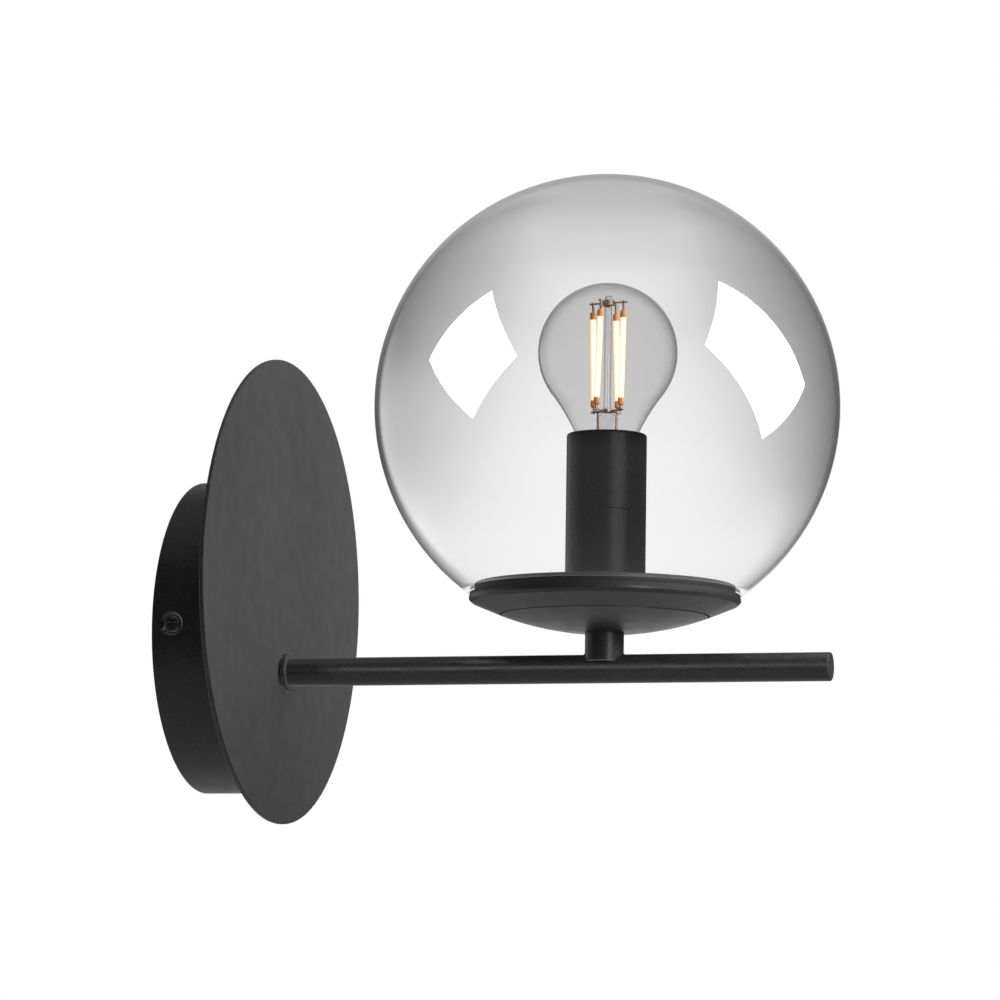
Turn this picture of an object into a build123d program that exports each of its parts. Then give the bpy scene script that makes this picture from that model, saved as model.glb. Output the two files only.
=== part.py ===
from build123d import *
from math import atan2, cos, degrees, radians, sin, sqrt
import os

# Globe wall sconce, in millimetres.
#
# A round canopy on the wall, a larger disc in front of it, a straight hollow arm, and on the arm
# a saucer that carries a lampholder, a golf-ball filament lamp and a smoked glass globe.
#
# Origin: the centre of the canopy's back, on the wall. The wall is at +Y, so the light reaches
# out towards -Y, and +Z is up. Three working frames are used:
#   wall frame    local X = X, local Y = up, local Z = distance out from the wall
#   arm frame     as the wall frame, on the arm's axis
#   saucer frame  local Z = height above the saucer's lowest face, on the stem's axis

# ---------------------------------------------------------------- driving sizes

# canopy and disc
CANOPY_D = 102.0
CANOPY_DEPTH = 25.0
CANOPY_WALL = 1.2
CANOPY_BEND_R = 0.5  # inside radius of the pressed edge
DISC_D = 152.0
DISC_THICK = 1.5
DISC_EDGE_R = 0.4
DISC_RISE = 15.0  # disc's centre above the canopy's centre
ARM_DROP = 11.5  # arm's axis below the canopy's centre

# wall bracket
STRAP_THICK = 1.5
STRAP_WIDTH = 20.0
STRAP_MIDDLE = 80.0  # length of the wide middle
STRAP_BEND_R = 0.8
EAR_WIDTH = 14.0
EAR_OUT = 11.0
SLOT_SPACING = 60.0
SLOT_LENGTH = 12.0
SLOT_WIDTH = 5.0

# side screws and their dimples
SIDE_SCREW_OUT = 6.5  # from the wall
SIDE_SCREW_R = 1.5
SIDE_SCREW_LENGTH = 7.0
SIDE_HEAD_R = 2.6
SIDE_HEAD_HIGH = 1.4
DIMPLE_DEPTH = 1.6
DIMPLE_FLOOR_R = 3.0
DIMPLE_MOUTH_R = 3.9
DRIVE_SLOT = 0.7  # width and depth of a screw's cross slot

# studs that hold the disc to the canopy
STUD_SPREAD = 68.0
STUD_R = 2.0
STUD_LENGTH = 6.2
STUD_NUT_ACROSS = 7.0
STUD_NUT_HIGH = 3.2
HOLE_PLAY = 0.2  # radial room in every clearance hole

# terminal block
BLOCK_UP = 22.0
BLOCK_WIDE = 26.0
BLOCK_HIGH = 17.0
BLOCK_DEEP = 13.0
BLOCK_ROUND = 0.8
POLE_SPACING = 12.0
INSERT_SIDE = 5.2
INSERT_LONG = 13.0
TUNNEL_R = 1.4
TUNNEL_BACK = 5.0  # tunnel's axis behind the canopy's front
CLAMP_SPACING = 8.0
CLAMP_R = 1.3
CLAMP_HEAD_R = 1.8
CLAMP_HEAD_HIGH = 1.2
FIXING_R = 1.5
FIXING_HEAD_R = 2.7
FIXING_HEAD_HIGH = 1.8

# earth screw and its lug
EARTH_X = -19.0
EARTH_SCREW_R = 2.0
EARTH_HEAD_R = 3.4
EARTH_HEAD_HIGH = 2.2
LUG_THICK = 0.8
LUG_WIDE = 3.4
LUG_REACH = 9.0

# arm and what clamps it
ARM_R = 4.6
ARM_WALL = 1.0
ARM_LENGTH = 182.9  # disc's face to the plug's face
COLLAR_NECK_R = 5.2
COLLAR_NECK = 1.2
COLLAR_R = 6.4
COLLAR_FLANGE = 1.3
COLLAR_EDGE_R = 0.35
ROOT_THREAD_R = 4.0
ROOT_BORE_R = 2.6
ROOT_GRIP = 12.0  # how far the insert reaches into the arm
ROOT_TAIL = 2.0  # thread left free behind the locknut
ROOT_NUT_ACROSS = 13.0
ROOT_NUT_HIGH = 5.0
ROOT_TAG_R = 7.0
ROOT_TAG_REACH = 15.0
ROOT_TAG_WIDE = 4.0
PLUG_FACE = 1.0
PLUG_GRIP = 6.0
PLUG_EDGE_R = 0.4

# stem
STEM_OUT = 108.7  # stem's axis from the disc's face
STEM_R = 6.25
STEM_TOP = 11.5  # above the arm's axis
STEM_BOTTOM = 2.4
WIRE_HOLE_R = 3.4
NIPPLE_R = 5.0
NIPPLE_BORE_R = 3.5
NIPPLE_START = 6.0  # above the arm's axis
NIPPLE_NUT_ACROSS = 13.0
NIPPLE_NUT_HIGH = 3.0
NIPPLE_TAIL = 1.5

# saucer
PAN_FLAT_R = 8.0
PAN_R = 33.1
PAN_RISE = 5.4
PAN_WALL = 1.2
SEAM = 0.5
RING_LAP = 4.1  # how far the ring reaches in over the pan
RING_R = 43.6
RING_SHOULDER_R = 42.5
RING_SHOULDER = 9.2
RING_LIP = 1.0  # upright part of the rim
LEDGE = 11.2  # height of the ledge that carries the glass
LEDGE_INNER_R = 40.0
LEDGE_THICK = 1.3

# what centres the glass
SPIGOT_R = 41.8
SPIGOT_WALL = 1.0
SPIGOT_TOP = 15.4
SPIGOT_THICK = 1.2
SPIGOT_EDGE_R = 0.5
GASKET_SEAT = 1.1
GASKET_WALL = 0.6
GASKET_INSET = 0.2
GLASS_PLAY = 0.15  # radial room between glass and spigot

# globe
GLOBE_R = 75.0
GLOBE_WALL = 1.2

# lampholder
SLEEVE_R = 12.9
SLEEVE_WALL = 1.35
SLEEVE_PLAY = 0.05
SLEEVE_HIGH = 48.8
SLEEVE_EDGE_R = 0.9
LATCH_START = 193.5  # degrees about the stem, where a latch slit begins
LATCH_ARC = 36.0
LATCH_TOP = 23.7  # above the spigot plate
LATCH_HIGH = 14.6
LATCH_SLIT = 0.6
BASE_HIGH = 14.1
BASE_FLOOR = 3.5
BASE_WALL = 2.0
CORE_HIGH = 26.5
SHELL_R = 7.05  # inside
SHELL_WALL = 0.5
SHELL_HIGH = 14.2
SHELL_TOP = 0.2  # below the core's top
CONTACT_STEP = 1.8  # rise of the centre contact
CONTACT_THICK = 0.4
CONTACT_WIDE = 4.0
POCKET_R = 6.6
POCKET_FLOOR = 4.0  # above the core's underside
POST_SPREAD = 10.0
POST_SIDE = 4.0
POST_HIGH = 3.0

# lamp: a G45 bulb on an E14 cap
BULB_R = 22.5
BULB_LENGTH = 78.0
BULB_WALL = 0.8
NECK_HOLLOW_R = 68.0  # hollow curve of the neck, from the ball to the cap
CAP_SKIRT_R = 8.6
CAP_SKIRT = 3.6
CAP_HIGH = 20.5
CAP_THREAD_R = 6.95
CAP_THREAD_DEPTH = 0.6
CAP_PITCH = 2.82
CAP_TURNS = 5
CAP_WALL = 0.4
INSULATOR_HIGH = 3.4
INSULATOR_R = 2.9
TIP_R = 2.4
TIP_HIGH = 1.35
FLARE_PLAY = 0.1
PINCH_HIGH = 10.65  # top of the pinch above the neck's end
PINCH_WIDE = 7.0
PINCH_THICK = 2.6
MOUNT_ROD_R = 1.2
FILAMENT_COUNT = 4
FILAMENT_R = 0.95
FILAMENT_HEADROOM = 8.95  # bulb's top to the filaments' upper ends
FILAMENT_END = 2.9
FILAMENT_END_R = 1.0
FILAMENT_RING_R = 5.5
FILAMENT_TURN = 12.0  # degrees about the rod, from foot to head
FILAMENT_FACE = 66.5  # first filament's angle at its foot
CARRIER_R = 0.3
CARRIER_COIL_R = 1.9
CARRIER_COIL_HIGH = 2.4
CARRIER_FOOT = 1.95  # pinch to the filaments' lower ends
CARRIER_DROP = 2.6  # carrier above the filaments' upper ends
CARRIER_COLLAR = 1.2  # height of the lower carrier's collar
CARRIER_STUB = 1.2  # wire past each hook
HOOK_R = 0.4
HOOK_PAST = 0.6  # hook beyond its carrier wire

# wires
WIRE_R = 0.9
WIRE_BEND_R = 5.4
WIRE_SIDE = 1.1  # each wire's offset from the arm's axis
WIRE_GRIP = 3.5  # length held in a terminal
WIRE_DROP = 7.5  # straight run below the block
WIRE_LEAN = 0.8  # how far that run leans out
WIRE_TURN_IN = 7.5  # above the arm's axis, where a wire starts its turn into the arm
WIRE_TURN_SIDE = 4.2  # each wire's offset there
POST_LEAD = 2.3  # straight run below a post
POST_GRIP = 2.5  # length held in a post

# ---------------------------------------------------------------- sizes that follow

CANOPY_R = CANOPY_D / 2
FRONT_INSIDE = CANOPY_DEPTH - CANOPY_WALL
DISC_FACE = CANOPY_DEPTH + DISC_THICK
EAR_X = CANOPY_R - DIMPLE_DEPTH - CANOPY_WALL
ARM_BORE_R = ARM_R - ARM_WALL
ARM_END = DISC_FACE + ARM_LENGTH
STEM_Y = DISC_FACE + STEM_OUT
TUNNEL_OUT = FRONT_INSIDE - TUNNEL_BACK
BLOCK_BACK = FRONT_INSIDE - BLOCK_DEEP
ROOT_NUT_LOW = FRONT_INSIDE - LUG_THICK - ROOT_NUT_HIGH
ROOT_END = ROOT_NUT_LOW - ROOT_TAIL

BOWL_CENTRE = (PAN_R**2 - PAN_FLAT_R**2 + PAN_RISE**2) / (2 * PAN_RISE)
BOWL_R = sqrt(PAN_FLAT_R**2 + BOWL_CENTRE**2)
GLASS_EDGE = LEDGE + GASKET_SEAT
MOUTH_R = SPIGOT_R + GLASS_PLAY
GLOBE_HEIGHT = GLASS_EDGE + sqrt((GLOBE_R - GLOBE_WALL) ** 2 - MOUTH_R**2)

BASE_R = SLEEVE_R - SLEEVE_WALL - SLEEVE_PLAY
CORE_LOW = SPIGOT_TOP + BASE_HIGH
CORE_TOP = CORE_LOW + CORE_HIGH
SHELL_HIGH_END = CORE_TOP - SHELL_TOP
POCKET_LOW = CORE_LOW + POCKET_FLOOR
NIPPLE_NUT_LOW = SPIGOT_TOP + BASE_FLOOR
NIPPLE_END = NIPPLE_NUT_LOW + NIPPLE_NUT_HIGH + NIPPLE_TAIL

LAMP_TIP = POCKET_LOW + CONTACT_STEP
LAMP_CENTRE = LAMP_TIP + BULB_LENGTH - BULB_R
INSULATOR_LOW = LAMP_TIP + TIP_HIGH
CAP_LOW = INSULATOR_LOW + INSULATOR_HIGH
NECK_END = CAP_LOW + CAP_HIGH
NECK_END_R = CAP_SKIRT_R - CAP_WALL / 4
PINCH_TOP = NECK_END + PINCH_HIGH
FILAMENT_LOW = PINCH_TOP + CARRIER_FOOT
FILAMENT_HIGH = LAMP_TIP + BULB_LENGTH - FILAMENT_HEADROOM

# working frames
WALL = Rot(90, 0, 0)
ARM = WALL * Pos(0, -ARM_DROP, 0)
ON_ARM = Pos(0, -STEM_Y, -ARM_DROP)
SAUCER_Z = STEM_TOP - ARM_DROP
SAUCER = Pos(0, -STEM_Y, SAUCER_Z)

# ---------------------------------------------------------------- shared operations


def turned(outline, rounds=None):
    """A solid turned about Z from (radius, height) points; rounds maps a point's number to a radius."""
    face = make_face(Polyline(*outline, close=True))
    for number, radius in (rounds or {}).items():
        corner = face.vertices().sort_by_distance(outline[number])[0]
        face = fillet(corner, radius)
    return revolve(Plane.XZ * face, Axis.Z)


def ring(outer, inner, low, high):
    """A plain tube or washer about Z."""
    return turned([(inner, low), (outer, low), (outer, high), (inner, high)])


def rod(radius, low, high):
    """A round bar about Z."""
    return Pos(0, 0, (low + high) / 2) * Cylinder(radius, high - low)


def block(x, y, z):
    """A box between three (low, high) pairs."""
    middle = [(low + high) / 2 for low, high in (x, y, z)]
    return Pos(*middle) * Box(x[1] - x[0], y[1] - y[0], z[1] - z[0])


def hex_nut(across, bore, low, high):
    """A hexagon nut about Z."""
    hexagon = RegularPolygon(across / 2, 6, major_radius=False)
    return Pos(0, 0, low) * extrude(hexagon, high - low) - rod(bore, low, high)


def bar(start, end, radius):
    """A round bar between two points."""
    start, end = Vector(*start), Vector(*end)
    section = Plane(origin=start, z_dir=end - start) * Circle(radius)
    return extrude(section, (end - start).length)


def cross_slot(head_radius, top):
    """The cross slot of a screw's head, cut down from its top."""
    along = (-head_radius, head_radius)
    across = (-DRIVE_SLOT / 2, DRIVE_SLOT / 2)
    deep = (top - DRIVE_SLOT, top)
    return block(along, across, deep) + block(across, along, deep)


def pan_height(radius, inset=0.0):
    """Height of the pan's bowl at a radius; inset is the depth inside its outer surface."""
    return BOWL_CENTRE - sqrt((BOWL_R - inset) ** 2 - radius**2)


def bowl_arc(start, end, inset):
    """The bowl's curve between two radii."""
    stations = (start, (start + end) / 2, end)
    return ThreePointArc(*[(r, pan_height(r, inset)) for r in stations])


# ---------------------------------------------------------------- wall side


def radial(side):
    """Frame of a side screw: local Z points out of the canopy's side, from its axis."""
    return Pos(0, 0, SIDE_SCREW_OUT) * Rot(0, 90 * side, 0)


def wall_bracket():
    """Bent steel strap: two slots for the wall's screws, two ears for the side screws."""
    inner = EAR_X - STRAP_THICK
    outline = [(-EAR_X, 0), (EAR_X, 0), (EAR_X, EAR_OUT), (inner, EAR_OUT)]
    outline += [(inner, STRAP_THICK), (-inner, STRAP_THICK), (-inner, EAR_OUT), (-EAR_X, EAR_OUT)]
    profile = make_face(Polyline(*outline, close=True))
    for number in (0, 1, 4, 5):
        bend = STRAP_BEND_R + (STRAP_THICK if number < 2 else 0)
        corner = profile.vertices().sort_by_distance(outline[number])[0]
        profile = fillet(corner, bend)
    strap = extrude(Plane.XZ * profile, EAR_WIDTH / 2, both=True)
    half = (-STRAP_MIDDLE / 2, STRAP_MIDDLE / 2)
    strap += block(half, (-STRAP_WIDTH / 2, STRAP_WIDTH / 2), (0, STRAP_THICK))
    for side in (-1, 1):
        slot = extrude(SlotOverall(SLOT_LENGTH, SLOT_WIDTH), STRAP_THICK)
        strap -= Pos(side * SLOT_SPACING / 2, 0, 0) * slot
        strap -= radial(side) * rod(SIDE_SCREW_R, 0, CANOPY_R)
    strap -= Pos(EARTH_X, 0, 0) * rod(EARTH_SCREW_R, 0, STRAP_THICK)
    return WALL * strap


def canopy():
    """Pressed cup, open at the back, with a dimple each side for the screw's head."""
    wall_r = CANOPY_R - CANOPY_WALL
    outline = [(0, FRONT_INSIDE), (wall_r, FRONT_INSIDE), (wall_r, 0), (CANOPY_R, 0)]
    outline += [(CANOPY_R, CANOPY_DEPTH), (0, CANOPY_DEPTH)]
    cup = turned(outline, {4: CANOPY_BEND_R + CANOPY_WALL, 1: CANOPY_BEND_R})
    for side in (-1, 1):
        skin_floor = (DIMPLE_FLOOR_R + CANOPY_WALL, EAR_X)
        skin_mouth = (DIMPLE_MOUTH_R + CANOPY_WALL, CANOPY_R)
        skin = turned([(0, EAR_X), skin_floor, skin_mouth, (0, CANOPY_R)])
        cup += radial(side) * skin & rod(CANOPY_R, 0, CANOPY_DEPTH)
        floor = CANOPY_R - DIMPLE_DEPTH
        slope = (DIMPLE_MOUTH_R - DIMPLE_FLOOR_R) / DIMPLE_DEPTH
        beyond = DIMPLE_MOUTH_R + slope * CANOPY_WALL
        mouth = [(0, floor), (DIMPLE_FLOOR_R, floor), (beyond, CANOPY_R + CANOPY_WALL)]
        cup -= radial(side) * turned(mouth + [(0, CANOPY_R + CANOPY_WALL)])
        cup -= radial(side) * rod(SIDE_SCREW_R + HOLE_PLAY, EAR_X, CANOPY_R)
        stud_hole = rod(STUD_R + HOLE_PLAY, FRONT_INSIDE, CANOPY_DEPTH)
        cup -= Pos(side * STUD_SPREAD / 2, 0, 0) * stud_hole
    arm_hole = rod(ROOT_THREAD_R + HOLE_PLAY, FRONT_INSIDE, CANOPY_DEPTH)
    cup -= Pos(0, -ARM_DROP, 0) * arm_hole
    cup -= Pos(0, BLOCK_UP, 0) * rod(FIXING_R, FRONT_INSIDE, CANOPY_DEPTH)
    return WALL * cup


def canopy_side_screws():
    """The two screws that hold the canopy to the bracket's ears."""
    seat = CANOPY_R - DIMPLE_DEPTH
    screw = rod(SIDE_HEAD_R, seat, seat + SIDE_HEAD_HIGH)
    screw += rod(SIDE_SCREW_R, seat - SIDE_SCREW_LENGTH, seat)
    screw -= cross_slot(SIDE_HEAD_R, seat + SIDE_HEAD_HIGH)
    return [WALL * radial(side) * screw for side in (-1, 1)]


def face_disc():
    """Thin round plate in front of the canopy, with the arm's hole below its centre."""
    r = DISC_D / 2
    outline = [(0, CANOPY_DEPTH), (r, CANOPY_DEPTH), (r, DISC_FACE), (0, DISC_FACE)]
    plate = Pos(0, DISC_RISE, 0) * turned(outline, {1: DISC_EDGE_R, 2: DISC_EDGE_R})
    hole = rod(ROOT_THREAD_R + HOLE_PLAY, CANOPY_DEPTH, DISC_FACE)
    return WALL * (plate - Pos(0, -ARM_DROP, 0) * hole)


def disc_studs():
    """Studs welded to the disc's back."""
    stud = rod(STUD_R, CANOPY_DEPTH - STUD_LENGTH, CANOPY_DEPTH)
    return [WALL * Pos(side * STUD_SPREAD / 2, 0, 0) * stud for side in (-1, 1)]


def disc_nuts():
    """Nuts on the studs, inside the canopy."""
    nut = hex_nut(STUD_NUT_ACROSS, STUD_R, FRONT_INSIDE - STUD_NUT_HIGH, FRONT_INSIDE)
    return [WALL * Pos(side * STUD_SPREAD / 2, 0, 0) * nut for side in (-1, 1)]


# ---------------------------------------------------------------- terminals


def poles():
    """Frames of the block's two poles: local Y runs along the wire's tunnel."""
    return [Pos(side * POLE_SPACING / 2, BLOCK_UP, TUNNEL_OUT) for side in (-1, 1)]


def clamp_places():
    """The clamp screws' places on a pole, with local Z towards the canopy's front."""
    return [Pos(0, side * CLAMP_SPACING / 2, 0) for side in (-1, 1)]


def tunnel(length):
    """The round way through a pole."""
    return Rot(90, 0, 0) * Cylinder(TUNNEL_R, length)


def insert_block():
    """Outside of a brass insert."""
    return Box(INSERT_SIDE, INSERT_LONG, INSERT_SIDE)


def terminal_block():
    """Plastic two-pole block on the canopy's inner face."""
    x = (-BLOCK_WIDE / 2, BLOCK_WIDE / 2)
    y = (BLOCK_UP - BLOCK_HIGH / 2, BLOCK_UP + BLOCK_HIGH / 2)
    body = block(x, y, (BLOCK_BACK, FRONT_INSIDE))
    body = fillet(body.edges().filter_by(Axis.Z), BLOCK_ROUND)
    for pole in poles():
        body -= pole * (insert_block() + tunnel(BLOCK_HIGH))
        for place in clamp_places():
            body -= pole * place * rod(CLAMP_HEAD_R, BLOCK_BACK - TUNNEL_OUT, 0)
    body -= Pos(0, BLOCK_UP, 0) * rod(FIXING_R, BLOCK_BACK, FRONT_INSIDE)
    head = rod(FIXING_HEAD_R, BLOCK_BACK, BLOCK_BACK + FIXING_HEAD_HIGH)
    return WALL * (body - Pos(0, BLOCK_UP, 0) * head)


def terminal_inserts():
    """Brass inserts with the wires' tunnel and tapped holes for the clamp screws."""
    insert = insert_block() - tunnel(INSERT_LONG)
    for place in clamp_places():
        insert -= place * rod(CLAMP_R, -INSERT_SIDE / 2, 0)
    return [WALL * pole * insert for pole in poles()]


def terminal_screws():
    """The four clamp screws; each tip rests on a wire or in the tunnel at that depth."""
    head_top = BLOCK_BACK - TUNNEL_OUT
    neck = head_top + CLAMP_HEAD_HIGH
    screw = rod(CLAMP_HEAD_R, head_top, neck) + rod(CLAMP_R, neck, -WIRE_R)
    slot = block((-CLAMP_HEAD_R, CLAMP_HEAD_R), (-DRIVE_SLOT / 2, DRIVE_SLOT / 2),
                 (head_top, head_top + DRIVE_SLOT))
    screw -= slot
    return [WALL * pole * place * screw for pole in poles() for place in clamp_places()]


def terminal_fixing():
    """Screw through the block into the canopy's front."""
    neck = BLOCK_BACK + FIXING_HEAD_HIGH
    screw = rod(FIXING_HEAD_R, BLOCK_BACK, neck) + rod(FIXING_R, neck, CANOPY_DEPTH)
    slot = block((-FIXING_HEAD_R, FIXING_HEAD_R), (-DRIVE_SLOT / 2, DRIVE_SLOT / 2),
                 (BLOCK_BACK, BLOCK_BACK + DRIVE_SLOT))
    return WALL * Pos(0, BLOCK_UP, 0) * (screw - slot)


def earth_lug():
    """Flat lug under the earth screw, its tab pointing down."""
    top = STRAP_THICK + LUG_THICK
    tab = block((-LUG_WIDE / 2, LUG_WIDE / 2), (-LUG_REACH, 0), (STRAP_THICK, top))
    lug = rod(EARTH_HEAD_R, STRAP_THICK, top) + tab - rod(EARTH_SCREW_R, STRAP_THICK, top)
    return WALL * Pos(EARTH_X, 0, 0) * lug


def earth_screw():
    """Screw that clamps the lug to the strap."""
    seat = STRAP_THICK + LUG_THICK
    screw = rod(EARTH_SCREW_R, 0, seat) + rod(EARTH_HEAD_R, seat, seat + EARTH_HEAD_HIGH)
    screw -= cross_slot(EARTH_HEAD_R, seat + EARTH_HEAD_HIGH)
    return WALL * Pos(EARTH_X, 0, 0) * screw


# ---------------------------------------------------------------- arm


def arm_collar():
    """Turned flange ring at the arm's root, on a narrower neck."""
    neck = DISC_FACE + COLLAR_NECK
    face = neck + COLLAR_FLANGE
    outline = [(ARM_R, DISC_FACE), (COLLAR_NECK_R, DISC_FACE), (COLLAR_NECK_R, neck)]
    outline += [(COLLAR_R, neck), (COLLAR_R, face), (ARM_R, face)]
    return ARM * turned(outline, {3: COLLAR_EDGE_R, 4: COLLAR_EDGE_R})


def arm_tube():
    """Hollow arm, with a hole in its top wall where the wires turn up into the stem."""
    tube = ring(ARM_R, ARM_BORE_R, DISC_FACE, ARM_END - PLUG_FACE)
    hole = Pos(0, 0, STEM_Y) * Rot(-90, 0, 0) * rod(WIRE_HOLE_R, 0, ARM_R)
    return ARM * (tube - hole)


def arm_root_insert():
    """Hollow insert: fixed in the arm's end, threaded through disc, canopy and locknut."""
    body = rod(ROOT_THREAD_R, ROOT_END, DISC_FACE)
    body += rod(ARM_BORE_R, DISC_FACE, DISC_FACE + ROOT_GRIP)
    return ARM * (body - rod(ROOT_BORE_R, ROOT_END, DISC_FACE + ROOT_GRIP))


def arm_earth_tag():
    """Washer under the locknut, with a tab for the earth wire."""
    low = FRONT_INSIDE - LUG_THICK
    span = (low, FRONT_INSIDE)
    tag = rod(ROOT_TAG_R, *span)
    tag += block((-ROOT_TAG_REACH, 0), (-ROOT_TAG_WIDE / 2, ROOT_TAG_WIDE / 2), span)
    return ARM * (tag - rod(ROOT_THREAD_R + HOLE_PLAY / 2, *span))


def arm_locknut():
    """Nut that clamps arm, collar, disc and canopy together."""
    return ARM * hex_nut(ROOT_NUT_ACROSS, ROOT_THREAD_R, ROOT_NUT_LOW, ROOT_NUT_LOW + ROOT_NUT_HIGH)


def arm_end_plug():
    """Flat plug in the arm's outer end."""
    seat = ARM_END - PLUG_FACE
    outline = [(0, seat - PLUG_GRIP), (ARM_BORE_R, seat - PLUG_GRIP), (ARM_BORE_R, seat)]
    outline += [(ARM_R, seat), (ARM_R, ARM_END), (0, ARM_END)]
    return ARM * turned(outline, {4: PLUG_EDGE_R})


def stem():
    """Short threaded tube, its foot saddled on the arm."""
    tube = ring(STEM_R, NIPPLE_R, STEM_BOTTOM, STEM_TOP)
    arm = Rot(90, 0, 0) * Cylinder(ARM_R, 4 * STEM_R)
    return ON_ARM * (tube - arm)


# ---------------------------------------------------------------- saucer


def dish_pan():
    """Domed centre of the saucer, one thickness all over."""
    hole = NIPPLE_R + HOLE_PLAY
    inner_flat = (PAN_FLAT_R, pan_height(PAN_FLAT_R, PAN_WALL))
    lines = [
        Line((hole, 0), (PAN_FLAT_R, 0)),
        bowl_arc(PAN_FLAT_R, PAN_R, 0),
        Line((PAN_R, pan_height(PAN_R)), (PAN_R, pan_height(PAN_R, PAN_WALL))),
        bowl_arc(PAN_R, PAN_FLAT_R, PAN_WALL),
        Line(inner_flat, (hole, inner_flat[1])),
        Line((hole, inner_flat[1]), (hole, 0)),
    ]
    return SAUCER * revolve(Plane.XZ * make_face(lines), Axis.Z)


def dish_ring():
    """Outer ring of the saucer: laps over the pan, and ends in the ledge that carries the glass."""
    seam_r = PAN_R + SEAM
    lap_r = PAN_R - RING_LAP
    top_inset = 2 * PAN_WALL
    shoulder = (RING_R, LEDGE - RING_LIP)
    inner_shoulder = (seam_r + PAN_WALL, pan_height(seam_r + PAN_WALL, top_inset))
    lines = [
        Line((seam_r, pan_height(seam_r)), (RING_SHOULDER_R, RING_SHOULDER)),
        Line((RING_SHOULDER_R, RING_SHOULDER), shoulder),
        Line(shoulder, (RING_R, LEDGE)),
        Line((RING_R, LEDGE), (LEDGE_INNER_R, LEDGE)),
        Line((LEDGE_INNER_R, LEDGE), (LEDGE_INNER_R, LEDGE - LEDGE_THICK)),
        Line((LEDGE_INNER_R, LEDGE - LEDGE_THICK), inner_shoulder),
        bowl_arc(inner_shoulder[0], lap_r, top_inset),
        Line((lap_r, pan_height(lap_r, top_inset)), (lap_r, pan_height(lap_r, PAN_WALL))),
        bowl_arc(lap_r, seam_r, PAN_WALL),
        Line((seam_r, pan_height(seam_r, PAN_WALL)), (seam_r, pan_height(seam_r))),
    ]
    section = make_face(lines)
    for point in ((RING_SHOULDER_R, RING_SHOULDER), shoulder):
        corner = section.vertices().sort_by_distance(point)[0]
        section = fillet(corner, (RING_R - RING_SHOULDER_R) / 2)
    return SAUCER * revolve(Plane.XZ * section, Axis.Z)


def pan_locknut():
    """Nut that clamps the pan to the stem."""
    low = pan_height(PAN_FLAT_R, PAN_WALL)
    return SAUCER * hex_nut(NIPPLE_NUT_ACROSS, NIPPLE_R, low, low + NIPPLE_NUT_HIGH)


def centre_nipple():
    """Hollow thread from the stem up into the lampholder's base."""
    start = NIPPLE_START - STEM_TOP
    return SAUCER * ring(NIPPLE_R, NIPPLE_BORE_R, start, NIPPLE_END)


def spigot_plate():
    """Round plate that stands on the saucer's ledge, centres the glass and carries the holder."""
    under = SPIGOT_TOP - SPIGOT_THICK
    skirt = SPIGOT_R - GASKET_WALL
    bore = NIPPLE_R + HOLE_PLAY
    outline = [(bore, SPIGOT_TOP), (SPIGOT_R, SPIGOT_TOP), (SPIGOT_R, under), (skirt, under)]
    outline += [(skirt, LEDGE), (skirt - SPIGOT_WALL, LEDGE), (skirt - SPIGOT_WALL, under)]
    return SAUCER * turned(outline + [(bore, under)], {1: SPIGOT_EDGE_R})


def glass_gasket():
    """Silicone ring of L section: a seat under the glass and a sleeve round the spigot."""
    under = SPIGOT_TOP - SPIGOT_THICK
    skirt = SPIGOT_R - GASKET_WALL
    outer = RING_R - GASKET_INSET
    outline = [(skirt, LEDGE), (outer, LEDGE), (outer, GLASS_EDGE), (SPIGOT_R, GLASS_EDGE)]
    return SAUCER * turned(outline + [(SPIGOT_R, under), (skirt, under)])


def globe_glass():
    """Blown globe, cut off flat below."""
    shell = Sphere(GLOBE_R) - Sphere(GLOBE_R - GLOBE_WALL)
    cut = GLOBE_HEIGHT - GLASS_EDGE
    below = block((-GLOBE_R, GLOBE_R), (-GLOBE_R, GLOBE_R), (-GLOBE_R, -cut))
    return SAUCER * Pos(0, 0, GLOBE_HEIGHT) * (shell - below)


# ---------------------------------------------------------------- lampholder


def latch(start):
    """The two slits that free a springy latch tongue in the sleeve: one across, one down."""
    reach = 2 * SLEEVE_R
    corner = start + LATCH_ARC
    rays = [(reach * cos(radians(a)), reach * sin(radians(a))) for a in (start, corner)]
    wedge = make_face(Polyline((0, 0), *rays, close=True))
    top = SPIGOT_TOP + LATCH_TOP
    across = Pos(0, 0, top - LATCH_SLIT) * extrude(wedge, LATCH_SLIT)
    half = LATCH_SLIT / 2
    down = block((0, reach), (-half, half), (top - LATCH_HIGH, top))
    return across + Rot(0, 0, corner) * down


def holder_sleeve():
    """Outer sleeve of the lampholder, with two L-shaped latch slits."""
    inner = SLEEVE_R - SLEEVE_WALL
    top = SPIGOT_TOP + SLEEVE_HIGH
    outline = [(inner, SPIGOT_TOP), (SLEEVE_R, SPIGOT_TOP), (SLEEVE_R, top), (inner, top)]
    sleeve = turned(outline, {2: SLEEVE_EDGE_R})
    for start in (LATCH_START, LATCH_START + 180):
        sleeve -= latch(start)
    return SAUCER * sleeve


def holder_base():
    """Threaded base of the lampholder, clamped to the spigot plate."""
    floor = SPIGOT_TOP + BASE_FLOOR
    inner = BASE_R - BASE_WALL
    outline = [(NIPPLE_R, SPIGOT_TOP), (BASE_R, SPIGOT_TOP), (BASE_R, CORE_LOW)]
    outline += [(inner, CORE_LOW), (inner, floor), (NIPPLE_R, floor)]
    return SAUCER * turned(outline)


def holder_nut():
    """Nut on the nipple, inside the base."""
    high = NIPPLE_NUT_LOW + NIPPLE_NUT_HIGH
    return SAUCER * hex_nut(NIPPLE_NUT_ACROSS, NIPPLE_R, NIPPLE_NUT_LOW, high)


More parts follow.
